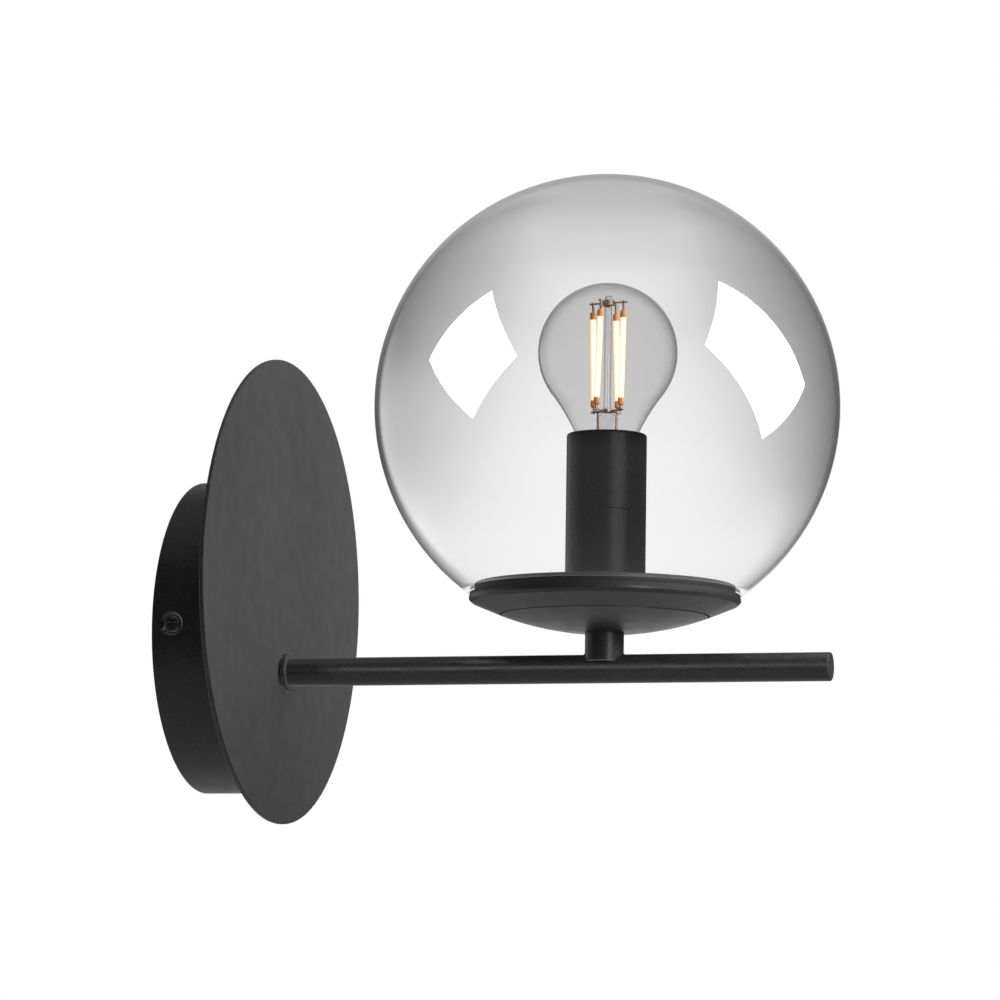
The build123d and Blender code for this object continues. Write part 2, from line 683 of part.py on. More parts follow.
def contact_strip(points, thick, wide):
    """A bent strip: its upper line in (x, height) points, lowered by its thickness."""
    lower = [(x, z - thick) for x, z in reversed(points)]
    profile = make_face(Polyline(*points, *lower, close=True))
    return extrude(Plane.XZ * profile, wide / 2, both=True)


def centre_leaf():
    """Springy leaf under the lamp's tip, with its tail on the live post."""
    post = POST_SPREAD / 2
    step = POCKET_LOW + CONTACT_THICK
    flat = TIP_R - CONTACT_THICK
    points = [(-post, step), (-flat - CONTACT_STEP, step), (-flat, LAMP_TIP), (flat, LAMP_TIP)]
    points += [(flat + CONTACT_STEP / 2, LAMP_TIP - CONTACT_STEP / 2)]
    leaf = contact_strip(points, CONTACT_THICK, CONTACT_WIDE)
    half = CONTACT_WIDE / 2
    tail = block((-post - CONTACT_THICK, -post), (-half, half), (CORE_LOW + POST_HIGH, step))
    return leaf + tail


def shell_strip():
    """Strip from the screw shell down to the neutral post."""
    outer = SHELL_R + SHELL_WALL
    x = (outer, outer + CONTACT_THICK)
    half = (-CONTACT_WIDE / 2, CONTACT_WIDE / 2)
    foot = CORE_LOW + POST_HIGH
    upright = block(x, half, (foot, CORE_TOP - SHELL_HIGH / 2))
    return upright + block((POST_SPREAD / 2, x[1]), half, (foot, foot + CONTACT_THICK))


def posts():
    """Frames of the two terminal posts, at the core's underside."""
    return [Pos(side * POST_SPREAD / 2, 0, CORE_LOW) for side in (-1, 1)]


def post_block():
    """Outside of a terminal post."""
    half = (-POST_SIDE / 2, POST_SIDE / 2)
    return block(half, half, (0, POST_HIGH))


def holder_core():
    """Insulating core: bore for the shell, pocket for the leaf, seats for the posts."""
    core = rod(BASE_R, CORE_LOW, CORE_TOP)
    core -= rod(POCKET_R, POCKET_LOW, CORE_TOP)
    core -= rod(SHELL_R + SHELL_WALL, SHELL_HIGH_END - SHELL_HIGH, CORE_TOP)
    for post in posts():
        core -= post * post_block()
    return SAUCER * (core - centre_leaf() - shell_strip())


def screw_shell():
    """Threaded shell that takes the lamp's cap."""
    return SAUCER * ring(SHELL_R + SHELL_WALL, SHELL_R, SHELL_HIGH_END - SHELL_HIGH, SHELL_HIGH_END)


def holder_posts():
    """Brass posts that take the wires."""
    post = post_block() - rod(WIRE_R, 0, POST_HIGH)
    return [SAUCER * place * post for place in posts()]


# ---------------------------------------------------------------- lamp


def neck_curve():
    """Centre of the hollow curve that touches the ball and ends at the neck's end."""
    drop = LAMP_CENTRE - NECK_END
    apart = sqrt(NECK_END_R**2 + drop**2)
    from_ball = BULB_R + NECK_HOLLOW_R
    along = (from_ball**2 - NECK_HOLLOW_R**2 + apart**2) / (2 * apart)
    aside = sqrt(from_ball**2 - along**2)
    x = (along * NECK_END_R + aside * drop) / apart
    return x, LAMP_CENTRE + (aside * NECK_END_R - along * drop) / apart


def neck_inner_r(height):
    """Inside radius of the neck at a height."""
    x, z = neck_curve()
    return x - sqrt((NECK_HOLLOW_R + BULB_WALL) ** 2 - (height - z) ** 2)


def envelope_edge(inset):
    """Ball and neck as two arcs, from the top down; inset is the depth inside the glass."""
    x, z = neck_curve()
    ball = BULB_R - inset
    start = atan2(LAMP_CENTRE - z, x)
    join = (ball * cos(start), LAMP_CENTRE - ball * sin(start))
    ball_arc = CenterArc((0, LAMP_CENTRE), ball, 90, -90 - degrees(start))
    far = x - sqrt((NECK_HOLLOW_R + inset) ** 2 - (NECK_END - z) ** 2)
    neck_arc = RadiusArc(join, (far, NECK_END), -(NECK_HOLLOW_R + inset))
    return ball_arc, neck_arc, far


def bulb_glass():
    """Clear golf-ball envelope, open at its neck."""
    outer_ball, outer_neck, outer_r = envelope_edge(0)
    inner_ball, inner_neck, inner_r = envelope_edge(BULB_WALL)
    top = LAMP_CENTRE + BULB_R
    lines = [outer_ball, outer_neck, Line((outer_r, NECK_END), (inner_r, NECK_END))]
    lines += [inner_neck, inner_ball, Line((0, top - BULB_WALL), (0, top))]
    return SAUCER * revolve(Plane.XZ * make_face(lines), Axis.Z)


def bulb_cap():
    """Brass cap: a skirt, and rolled rings that stand for the thread."""
    root = CAP_THREAD_R - CAP_THREAD_DEPTH
    inner = root - CAP_WALL
    skirt_low = NECK_END - CAP_SKIRT
    outline = [(CAP_SKIRT_R, NECK_END), (CAP_SKIRT_R, skirt_low)]
    for turn in range(CAP_TURNS):
        outline.append((root, skirt_low - CAP_PITCH * (turn + 0.25)))
        outline.append((CAP_THREAD_R, skirt_low - CAP_PITCH * (turn + 0.75)))
    outline += [(root, skirt_low - CAP_PITCH * (CAP_TURNS + 0.25)), (root, CAP_LOW)]
    outline += [(inner, CAP_LOW), (inner, skirt_low), (CAP_SKIRT_R - CAP_WALL, skirt_low + CAP_WALL)]
    outline.append((CAP_SKIRT_R - CAP_WALL, NECK_END))
    return SAUCER * turned(outline)


def bulb_insulator():
    """Dark glass insulator under the cap."""
    wide = CAP_THREAD_R - CAP_THREAD_DEPTH
    outline = [(0, INSULATOR_LOW), (INSULATOR_R, INSULATOR_LOW), (wide, CAP_LOW), (0, CAP_LOW)]
    return SAUCER * turned(outline)


def bulb_tip():
    """Soldered tip, resting on the centre leaf."""
    outline = [(0, LAMP_TIP), (TIP_R, LAMP_TIP), (TIP_R, INSULATOR_LOW), (0, INSULATOR_LOW)]
    return SAUCER * turned(outline, {1: TIP_HIGH / 2})


def bulb_mount():
    """Glass flare sealed to the neck, its flattened pinch, and the rod up the middle."""
    base_r = neck_inner_r(NECK_END) - FLARE_PLAY
    waist = PINCH_THICK / 2
    outline = [(0, NECK_END), (base_r, NECK_END), (base_r, NECK_END + BULB_WALL)]
    outline += [(waist + BULB_WALL, NECK_END + PINCH_HIGH / 2), (0, NECK_END + PINCH_HIGH / 2)]
    half = (-PINCH_WIDE / 2, PINCH_WIDE / 2)
    pinch = block((-waist, waist), half, (NECK_END + PINCH_HIGH / 2 - BULB_WALL, PINCH_TOP))
    top = FILAMENT_HIGH + CARRIER_DROP + CARRIER_COIL_HIGH
    return SAUCER * (turned(outline) + pinch + rod(MOUNT_ROD_R, PINCH_TOP, top))


def filament_spots(height):
    """Where the filaments, or their lines drawn on, cross a height."""
    share = (height - FILAMENT_LOW) / (FILAMENT_HIGH - FILAMENT_LOW)
    spots = []
    for n in range(FILAMENT_COUNT):
        foot = radians(FILAMENT_FACE + 360 * n / FILAMENT_COUNT)
        head = foot + radians(FILAMENT_TURN)
        x = FILAMENT_RING_R * ((1 - share) * cos(foot) + share * cos(head))
        y = FILAMENT_RING_R * ((1 - share) * sin(foot) + share * sin(head))
        spots.append((x, y, height))
    return spots


def led_filaments():
    """Four slim strips, twisted a little about the rod."""
    lows = filament_spots(FILAMENT_LOW + FILAMENT_END)
    highs = filament_spots(FILAMENT_HIGH - FILAMENT_END)
    return [SAUCER * bar(low, high, FILAMENT_R) for low, high in zip(lows, highs)]


def filament_ends():
    """The end cap at both ends of each strip."""
    levels = [(FILAMENT_LOW, FILAMENT_LOW + FILAMENT_END)]
    levels.append((FILAMENT_HIGH - FILAMENT_END, FILAMENT_HIGH))
    caps = []
    for low, high in levels:
        for start, end in zip(filament_spots(low), filament_spots(high)):
            caps.append(SAUCER * bar(start, end, FILAMENT_END_R))
    return caps


def filament_carrier(middle, high, filament_end):
    """A coil round the rod, with an arm out past each filament and a hook to its end."""
    carrier = ring(CARRIER_COIL_R, MOUNT_ROD_R, middle - high / 2, middle + high / 2)
    for x, y, z in filament_spots(middle):
        reach = sqrt(x**2 + y**2)
        start = (CARRIER_COIL_R - CARRIER_R) / reach
        end = (reach + CARRIER_STUB) / reach
        carrier += bar((x * start, y * start, z), (x * end, y * end, z), CARRIER_R)
    past = HOOK_PAST if middle > filament_end else -HOOK_PAST
    for start, end in zip(filament_spots(filament_end), filament_spots(middle + past)):
        carrier += bar(start, end, HOOK_R)
    return carrier


def filament_carriers():
    """Wire carriers above and below the filaments."""
    above = FILAMENT_HIGH + CARRIER_DROP
    below = PINCH_TOP + CARRIER_COLLAR / 2
    top = filament_carrier(above, CARRIER_COIL_HIGH, FILAMENT_HIGH)
    bottom = filament_carrier(below, CARRIER_COLLAR, FILAMENT_LOW)
    return [SAUCER * top, SAUCER * bottom]


# ---------------------------------------------------------------- wires held by the object


def wire(route):
    """A wire along straight runs with one bend radius."""
    path = FilletPolyline(*route, radius=WIRE_BEND_R)
    section = Plane(origin=path @ 0, z_dir=path % 0) * Circle(WIRE_R)
    solid = sweep(section, path=path)
    print("wire length", round(path.length, 1), "bend radius", WIRE_BEND_R)
    return solid


def conductor(side):
    """From the block through the arm and the stem to a post, on its own side of the arm's axis."""
    pole_x = side * POLE_SPACING / 2
    post_x = side * POST_SPREAD / 2
    x = side * WIRE_SIDE
    block_low = BLOCK_UP - BLOCK_HIGH / 2
    entry = ROOT_END - WIRE_BEND_R  # where the wire turns into the arm
    rise = SAUCER_Z + NIPPLE_END
    post_low = SAUCER_Z + CORE_LOW
    return wire([
        (pole_x, -TUNNEL_OUT, block_low + WIRE_GRIP),
        (pole_x, -TUNNEL_OUT + WIRE_LEAN, block_low - WIRE_DROP),
        (side * WIRE_TURN_SIDE, -entry + WIRE_LEAN, -ARM_DROP + WIRE_TURN_IN),
        (x, -entry, -ARM_DROP),
        (x, -STEM_Y, -ARM_DROP),
        (x, -STEM_Y, rise),
        (post_x, -STEM_Y, post_low - POST_LEAD),
        (post_x, -STEM_Y, post_low + POST_GRIP),
    ])


def wire_live():
    return conductor(-1)


def wire_neutral():
    return conductor(1)


def earth_wire():
    """From the strap's lug to the tag under the arm's locknut."""
    lug_face = STRAP_THICK + LUG_THICK
    tag_face = FRONT_INSIDE - LUG_THICK
    lug_z = -LUG_REACH + LUG_WIDE / 2
    tag_x = -ROOT_TAG_REACH + ROOT_TAG_WIDE / 2
    third = (tag_face - lug_face) / 3
    return wire([
        (EARTH_X, -lug_face, lug_z),
        (EARTH_X, -lug_face - third, lug_z),
        (tag_x, -tag_face + third, -ARM_DROP),
        (tag_x, -tag_face, -ARM_DROP),
    ])


# ---------------------------------------------------------------- the files

NODES = [
    wall_bracket, canopy, canopy_side_screws, face_disc, disc_studs, disc_nuts,
    terminal_block, terminal_inserts, terminal_screws, terminal_fixing, earth_lug, earth_screw,
    arm_collar, arm_tube, arm_root_insert, arm_earth_tag, arm_locknut, arm_end_plug, stem,
    dish_pan, dish_ring, pan_locknut, centre_nipple, spigot_plate, glass_gasket, globe_glass,
    holder_sleeve, holder_base, holder_nut, holder_core, screw_shell, holder_posts,
    bulb_glass, bulb_cap, bulb_insulator, bulb_tip, bulb_mount,
    led_filaments, filament_ends, filament_carriers,
    wire_live, wire_neutral, earth_wire,
]

os.makedirs("parts", exist_ok=True)
for make in NODES:
    made = make()
    solids = made if isinstance(made, list) else [made]
    export_step(Compound([s for piece in solids for s in piece.solids()]), f"parts/{make.__name__}.step")
export_step(Compound((SAUCER * centre_leaf()).solids()), "parts/centre_contact.step")
export_step(Compound((SAUCER * shell_strip()).solids()), "parts/shell_contact.step")
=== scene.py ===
from math import cos, pi, radians, sin, sqrt

import bpy
from mathutils import Matrix, Vector


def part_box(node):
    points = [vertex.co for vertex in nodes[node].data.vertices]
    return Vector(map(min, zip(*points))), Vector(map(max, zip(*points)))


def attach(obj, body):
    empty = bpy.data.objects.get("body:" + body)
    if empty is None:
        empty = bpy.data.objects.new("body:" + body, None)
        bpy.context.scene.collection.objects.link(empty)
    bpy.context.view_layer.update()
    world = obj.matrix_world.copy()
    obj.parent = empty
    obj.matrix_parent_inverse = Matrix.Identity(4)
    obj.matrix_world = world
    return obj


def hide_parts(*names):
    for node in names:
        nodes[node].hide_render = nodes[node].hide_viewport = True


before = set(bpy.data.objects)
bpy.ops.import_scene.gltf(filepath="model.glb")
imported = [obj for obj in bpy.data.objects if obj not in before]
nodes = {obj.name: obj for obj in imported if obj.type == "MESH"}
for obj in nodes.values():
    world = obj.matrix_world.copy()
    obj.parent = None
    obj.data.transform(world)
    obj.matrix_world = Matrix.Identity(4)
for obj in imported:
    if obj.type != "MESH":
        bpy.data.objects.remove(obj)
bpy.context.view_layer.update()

# ------------------------------------------------------------------ the studio
# A white background, a pale floor well below the light, and a long lens a little below the arm's
# level. Two bright windows show in the glass alone, soft lamps light the rest, and a room with dark
# sides shows in all that is glossy.

MM = 0.001
STEM_Y = (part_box("stem")[0].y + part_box("stem")[1].y) / 2
GLOBE_LOW, GLOBE_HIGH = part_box("globe_glass")
GLOBE_R = (GLOBE_HIGH.x - GLOBE_LOW.x) / 2
GLOBE_CENTRE = Vector((0, STEM_Y, GLOBE_HIGH.z - GLOBE_R))


class Shade:
    """One socket of a shader. Its operators add Math nodes, and node() adds any other node."""

    def __init__(self, tree, socket=None):
        self.tree = tree
        self.socket = socket

    def node(self, kind, values=None, output=0, stops=None, **settings):
        made = self.tree.nodes.new(kind)
        for name, setting in settings.items():
            setattr(made, name, setting)
        if stops:
            ramp = made.color_ramp
            while len(ramp.elements) < len(stops):
                ramp.elements.new(1)
            for element, (place, colour) in zip(ramp.elements, stops):
                element.position = place
                element.color = colour
        for socket, value in (values or {}).items():
            if isinstance(value, Shade):
                self.tree.links.new(value.socket, made.inputs[socket])
            else:
                made.inputs[socket].default_value = value
        return Shade(self.tree, made.outputs[output] if made.outputs else None)

    def math(self, operation, *values):
        return self.node("ShaderNodeMath", dict(enumerate(values)), operation=operation)

    def __add__(self, other):
        return self.math("ADD", self, other)

    def __radd__(self, other):
        return self.math("ADD", other, self)

    def __sub__(self, other):
        return self.math("SUBTRACT", self, other)

    def __rsub__(self, other):
        return self.math("SUBTRACT", other, self)

    def __mul__(self, other):
        return self.math("MULTIPLY", self, other)

    def __rmul__(self, other):
        return self.math("MULTIPLY", other, self)

    def __truediv__(self, other):
        return self.math("DIVIDE", self, other)

    def __pow__(self, other):
        return self.math("POWER", self, other)

    def ease(self, low, high, start=0.0, end=1.0):
        """Goes smoothly from start, at low, to end, at high."""
        values = {"Value": self, "From Min": low, "From Max": high, "To Min": start, "To Max": end}
        return self.node("ShaderNodeMapRange", values, interpolation_type="SMOOTHSTEP")


def grey(level, warmth=0.0):
    """A linear grey; warmth moves it towards red."""
    return (level * (1 + warmth), level, level * (1 - warmth), 1)


def seen_from(azimuth, elevation):
    """The direction towards a viewer at that azimuth and elevation."""
    a, e = radians(azimuth), radians(elevation)
    return Vector((sin(a) * cos(e), -cos(a) * cos(e), sin(e)))


CAMERA_AIM = Vector((-0.00098, -0.09988, 0.04356))
CAMERA_AZIMUTH = -73.105
CAMERA_ELEVATION = -6.943
CAMERA_AWAY = 1.450
CAMERA_ROLL = 0.85
CAMERA_LENS = 161.46
CLEAR_BOUNCES = 24  # ten faces of glass lie one behind another at the lamp's rod

bpy.ops.object.select_all(action="DESELECT")
back = seen_from(CAMERA_AZIMUTH, CAMERA_ELEVATION)
bpy.ops.object.camera_add(location=CAMERA_AIM + back * CAMERA_AWAY)
camera = bpy.context.object
turn = back.to_track_quat("Z", "Y").to_matrix() @ Matrix.Rotation(radians(CAMERA_ROLL), 3, "Z")
camera.rotation_euler = turn.to_euler()
camera.data.lens = CAMERA_LENS
bpy.context.scene.camera = camera
bpy.context.scene.view_settings.view_transform = "Standard"
bpy.context.scene.cycles.transparent_max_bounces = CLEAR_BOUNCES

SURROUND_LIGHT = 0.34
ROOM_OVERHEAD = 0.3
ROOM_FLOOR = 0.6
ROOM_ROUND = [  # azimuth in degrees, and how bright the room's wall is there
    (-180, 0.95), (-170, 0.9), (-135, 0.06), (20, 0.08), (92, 0.05), (99, 1.0), (109, 1.0), (114, 0.02),
    (130, 0.02), (138, 0.95), (180, 0.95),
]
ROOM_HIGH = [  # the same, above the wall
    (-180, 0.08), (80, 0.08), (95, 0.42), (119, 0.42), (130, 0.08), (180, 0.08),
]

world = bpy.data.worlds.new("white_surround")
world.use_nodes = True
world.node_tree.nodes.clear()
bpy.context.scene.world = world
air = Shade(world.node_tree)
towards = air.node("ShaderNodeTexCoord", output="Generated")
x, y, z = [air.node("ShaderNodeSeparateXYZ", {0: towards}, output=axis) for axis in "XYZ"]
around = air.math("ARCTAN2", x, y * -1) / (2 * pi) + 0.5
wall, above = [
    air.node("ShaderNodeValToRGB", {0: around},
             stops=[(azimuth / 360 + 0.5, grey(level)) for azimuth, level in band])
    for band in (ROOM_ROUND, ROOM_HIGH)]
high, overhead, low = z.ease(0.05, 0.38), z.ease(0.7, 0.95), z.ease(-0.5, -0.25, 1, 0)
sides = wall * (1 - high) + above * high
room_light = (sides * (1 - overhead) + overhead * ROOM_OVERHEAD) * (1 - low) + low * ROOM_FLOOR
camera_ray, glossy_ray, clear_ray = [
    air.node("ShaderNodeLightPath", output=f"Is {kind} Ray") for kind in ("Camera", "Glossy", "Transmission")]
plain = air.node("ShaderNodeBackground", {"Color": grey(1), "Strength": SURROUND_LIGHT})
room = air.node("ShaderNodeBackground", {"Color": grey(1), "Strength": room_light})
white = air.node("ShaderNodeBackground", {"Color": grey(1), "Strength": 1})
around_it = air.node("ShaderNodeMixShader", {0: glossy_ray, 1: plain, 2: room})
seen = air.node("ShaderNodeMixShader", {0: camera_ray + clear_ray, 1: around_it, 2: white})
air.node("ShaderNodeOutputWorld", {0: seen})


def blank(name):
    """A new material and the Shade that builds it."""
    material = bpy.data.materials.new(name)
    material.use_nodes = True
    material.node_tree.nodes.clear()
    return material, Shade(material.node_tree)


def surface(shade, shader):
    """Sets a material's surface."""
    shade.node("ShaderNodeOutputMaterial", {"Surface": shader})


FLOOR_DROP = 0.55
FLOOR_SIDE = 7.0
FLOOR_LIFT = 0.6  # how far the camera sees it at its own colour, whatever light it has
PAPER_DARK = 0.86
PAPER_PALE = 0.9
PAPER_MOTTLE = 3.0

paper, shade = blank("floor_paper")
where = shade.node("ShaderNodeTexCoord", output="Object")
mottle = shade.node("ShaderNodeTexNoise", {"Vector": where, "Scale": PAPER_MOTTLE, "Detail": 4})
tone = shade.node("ShaderNodeMix", {0: mottle, 6: grey(PAPER_DARK), 7: grey(PAPER_PALE)},
                  output=2, data_type="RGBA")
matte = shade.node("ShaderNodeBsdfPrincipled", {"Base Color": tone, "Roughness": 0.9})
lit = shade.node("ShaderNodeEmission", {"Color": tone, "Strength": 1.0})
looked_at = shade.node("ShaderNodeLightPath", output="Is Camera Ray")
surface(shade, shade.node("ShaderNodeMixShader", {0: looked_at * FLOOR_LIFT, 1: matte, 2: lit}))
bpy.ops.mesh.primitive_plane_add(size=FLOOR_SIDE, location=(0, 0, -FLOOR_DROP))
floor = bpy.context.object
floor.name = "floor"
floor.data.materials.append(paper)
floor.visible_glossy = False


WINDOW_AWAY = 1.1
WINDOW_GLOW = 18.0


def window(name, azimuth, elevation, wide, high, spin):
    """A bright window that only reflections see, square to the globe."""
    facing = seen_from(azimuth, elevation)
    bpy.ops.mesh.primitive_plane_add(size=1, location=GLOBE_CENTRE + facing * WINDOW_AWAY)
    made = bpy.context.object
    made.name = name
    made.scale = (wide, high, 1)
    square = (-facing).to_track_quat("Z", "Y").to_matrix() @ Matrix.Rotation(radians(spin), 3, "Z")
    made.rotation_euler = square.to_euler()
    material, shade = blank(name)
    surface(shade, shade.node("ShaderNodeEmission", {"Color": grey(WINDOW_GLOW)}))
    made.data.materials.append(material)
    made.visible_camera = False
    made.visible_diffuse = False
    made.visible_transmission = False
    made.visible_shadow = False
    return made


windows = [
    window("left_window", azimuth=-145.3, elevation=17.4, wide=0.794, high=0.705, spin=41),
    window("right_window", azimuth=6.0, elevation=18.0, wide=1.03, high=0.765, spin=49),
]


def softbox(name, azimuth, elevation, away, wide, high, power):
    """A soft rectangular lamp that faces the globe."""
    facing = seen_from(azimuth, elevation)
    bpy.ops.object.light_add(type="AREA", location=GLOBE_CENTRE + facing * away)
    lamp = bpy.context.object
    lamp.name = name
    lamp.rotation_euler = facing.to_track_quat("Z", "Y").to_euler()
    lamp.data.shape = "RECTANGLE"
    lamp.data.size = wide
    lamp.data.size_y = high
    lamp.data.energy = power
    lamp.visible_camera = False
    return lamp


key_light = softbox("key_light", 6.3, 28, away=1.3, wide=1.0, high=0.8, power=34.0)
front_light = softbox("front_light", -43, 10, away=1.6, wide=0.3, high=1.2, power=15.0)
top_light = softbox("top_light", -60, 78, away=1.4, wide=1.0, high=1.0, power=5.0)
disc_light = softbox("disc_light", 70, 17, away=1.8, wide=1.2, high=1.2, power=2.7)
holder_light = softbox("holder_light", -41, 8, away=1.3, wide=0.9, high=0.9, power=9.0)
arm_light = softbox("arm_light", -107, 8, away=1.5, wide=0.22, high=0.3, power=4.8)

# ------------------------------------------------------------------ canopy and disc
# The canopy is a cup pressed from 1.2 mm steel and the disc is a flat blank in front of it. Both,
# and all the other metal that shows, have one matte black powder coat with a fine grain.

COAT_BLACK = 0.018
COAT_GRAIN = 2300.0
COAT_MOTTLE = 160.0
COAT_BUMP = 0.00006
COAT_DEEP = COAT_BLACK * 0.55
COAT_PALE = COAT_BLACK * 1.7
COAT_ROUGHNESS = (0.34, 0.44)
COAT_SHEEN = 0.3


def powder_coat(name):
    """Matte black powder coat: fine grain, a little cloudy, with pale specks where it catches light."""
    material, shade = blank(name)
    where = shade.node("ShaderNodeTexCoord", output="Object")
    grain = shade.node("ShaderNodeTexNoise", {"Vector": where, "Scale": COAT_GRAIN, "Detail": 2.5})
    cloud = shade.node("ShaderNodeTexNoise", {"Vector": where, "Scale": COAT_MOTTLE, "Detail": 3})
    mixed = grain.ease(0.38, 0.68) * 0.8 + cloud.ease(0.3, 0.7) * 0.2
    tone = shade.node("ShaderNodeMix", {0: mixed, 6: grey(COAT_DEEP), 7: grey(COAT_PALE)},
                      output=2, data_type="RGBA")
    bump = shade.node("ShaderNodeBump", {"Height": grain, "Strength": 0.6, "Distance": COAT_BUMP})
    surface(shade, shade.node("ShaderNodeBsdfPrincipled", {
        "Base Color": tone,
        "Roughness": cloud.ease(0.2, 0.8, *COAT_ROUGHNESS),
        "Specular IOR Level": COAT_SHEEN,
        "Normal": bump,
    }))
    return material


def finish_nodes(material, *names):
    """Gives CAD nodes their finish."""
    for name in names:
        slots = nodes[name].data.materials
        slots.clear()
        slots.append(material)


black_coat = powder_coat("powder_coat_black")
finish_nodes(black_coat, "canopy", "face_disc", "arm_collar", "arm_tube", "arm_end_plug", "stem")
finish_nodes(black_coat, "dish_pan", "dish_ring", "spigot_plate")
WALL_SIDE = -30 * MM
for name, node in nodes.items():
    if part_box(name)[1].y > WALL_SIDE or name == "arm_end_plug":
        node.visible_glossy = False  # so that the glass shows the room's wall in their place

# ------------------------------------------------------------------ side screws
# Two pan-headed M3 screws, blacked like the canopy, sit in dimples in its wall and hold it to the
# bracket's ears. Each head is rounded over and has a cross slot.


def begin(name, add, **place):
    """Adds a primitive alone in the selection, names it and opens it in edit mode."""
    bpy.ops.object.select_all(action="DESELECT")
    add(**place)
    piece = bpy.context.object
    piece.name = name
    piece.data.name = name
    bpy.ops.object.mode_set(mode="EDIT")
    bpy.ops.mesh.select_mode(type="FACE")
    return piece


def pick(piece, wanted):
    """Selects only the faces whose centre and normal are wanted."""
    bpy.ops.mesh.select_all(action="DESELECT")
    bpy.ops.object.mode_set(mode="OBJECT")
    turned = piece.matrix_world.to_3x3()
    for face in piece.data.polygons:
        face.select = wanted(piece.matrix_world @ face.center, turned @ face.normal)
    bpy.ops.object.mode_set(mode="EDIT")


def apply_all(piece):
    """Leaves edit mode, applies the piece's modifiers and puts its place into its mesh."""
    bpy.ops.object.mode_set(mode="OBJECT")
    for modifier in list(piece.modifiers):
        bpy.ops.object.modifier_apply(modifier=modifier.name)
    bpy.ops.object.transform_apply(location=True, rotation=True, scale=True)


def join(pieces, name, angle=35):
    """Makes one piece of several, shaded smooth where its faces turn less than an angle."""
    bpy.ops.object.select_all(action="DESELECT")
    for piece in pieces:
        piece.select_set(True)
    bpy.context.view_layer.objects.active = pieces[0]
    if len(pieces) > 1:
        bpy.ops.object.join()
    bpy.ops.object.shade_smooth_by_angle(angle=radians(angle))
    pieces[0].name = name
    pieces[0].data.name = name
    return pieces[0]


def place(piece, material, body, replaced, slot):
    """Finishes a new piece: its material, its body and the CAD nodes it stands for. Its slot is not used."""
    piece.data.materials.clear()
    piece.data.materials.append(material)
    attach(piece, body)
    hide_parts(*replaced)


SCREW_LOW, SCREW_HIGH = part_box("canopy_side_screws")
SCREW_HEAD_R = (SCREW_HIGH.z - SCREW_LOW.z) / 2
SCREW_HEAD = 1.4 * MM
SCREW_SHANK_R = 1.5 * MM
SCREW_LENGTH = 7.0 * MM
SCREW_ROUND = 0.8 * MM
CROSS_LONG = 3.4 * MM
CROSS_WIDE = 0.75 * MM
CROSS_DEEP = 0.8 * MM

screws = []
for side in (-1, 1):
    middle = Vector((side * (SCREW_HIGH.x - SCREW_HEAD / 2), (SCREW_LOW.y + SCREW_HIGH.y) / 2, 0))
    screw = begin("side_screw", bpy.ops.mesh.primitive_cylinder_add, vertices=40, radius=SCREW_HEAD_R,
                  depth=SCREW_HEAD, location=middle, rotation=(0, pi / 2, 0))
    pick(screw, lambda centre, normal: normal.x * side < -0.9)
    bpy.ops.mesh.inset(thickness=SCREW_HEAD_R - SCREW_SHANK_R)
    bpy.ops.mesh.extrude_region_move(TRANSFORM_OT_translate={"value": (-side * SCREW_LENGTH, 0, 0)})
    pick(screw, lambda centre, normal: normal.x * side > 0.9)
    bpy.ops.mesh.bevel(offset=SCREW_ROUND, segments=5, affect="EDGES")
    apply_all(screw)
    for wide, high in ((CROSS_LONG, CROSS_WIDE), (CROSS_WIDE, CROSS_LONG)):
        bpy.ops.object.select_all(action="DESELECT")
        bpy.ops.mesh.primitive_cube_add(size=1, location=middle + Vector((side * SCREW_HEAD / 2, 0, 0)),
                                        scale=(2 * CROSS_DEEP, wide, high))
        cutter = bpy.context.object
        bpy.context.view_layer.objects.active = screw
        cut = screw.modifiers.new("cross", "BOOLEAN")
        cut.object = cutter
        bpy.ops.object.modifier_apply(modifier=cut.name)
        bpy.data.objects.remove(cutter)
    screws.append(screw)
place(join(screws, "side_screws"), black_coat, "fixture", ["canopy_side_screws"], "powder_coat")
screws[0].visible_glossy = False

# ------------------------------------------------------------------ stem's weld
# The stem's foot is saddled on the arm and held by two short weld beads under the coat.

ARM_LOW, ARM_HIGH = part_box("arm_tube")
ARM_R = (ARM_HIGH.z - ARM_LOW.z) / 2
ARM_Z = (ARM_HIGH.z + ARM_LOW.z) / 2
STEM_R = (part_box("stem")[1].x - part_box("stem")[0].x) / 2
WELD_R = 0.4 * MM
WELD_SPAN = 3.7 * MM
WELD_STEPS = 9


MERGE = 0.01 * MM


def along(name, points, thick):
    """A round wire or bead along a smooth line through points."""
    bpy.ops.object.select_all(action="DESELECT")
    bpy.ops.curve.primitive_nurbs_path_add(location=(0, 0, 0))
    piece = bpy.context.object
    line = piece.data
    line.splines.clear()
    spline = line.splines.new("NURBS")
    spline.points.add(len(points) - 1)
    for knot, point in zip(spline.points, points):
        knot.co = (*point, 1)
    spline.order_u = 3
    spline.use_endpoint_u = True
    line.resolution_u = 6
    line.bevel_depth = thick
    line.bevel_resolution = 4
    line.use_fill_caps = True
    bpy.ops.object.convert(target="MESH")
    bpy.ops.object.mode_set(mode="EDIT")
    bpy.ops.mesh.select_all(action="SELECT")
    bpy.ops.mesh.remove_doubles(threshold=MERGE)
    bpy.ops.mesh.normals_make_consistent(inside=False)
    bpy.ops.object.mode_set(mode="OBJECT")
    piece.name = name
    return piece


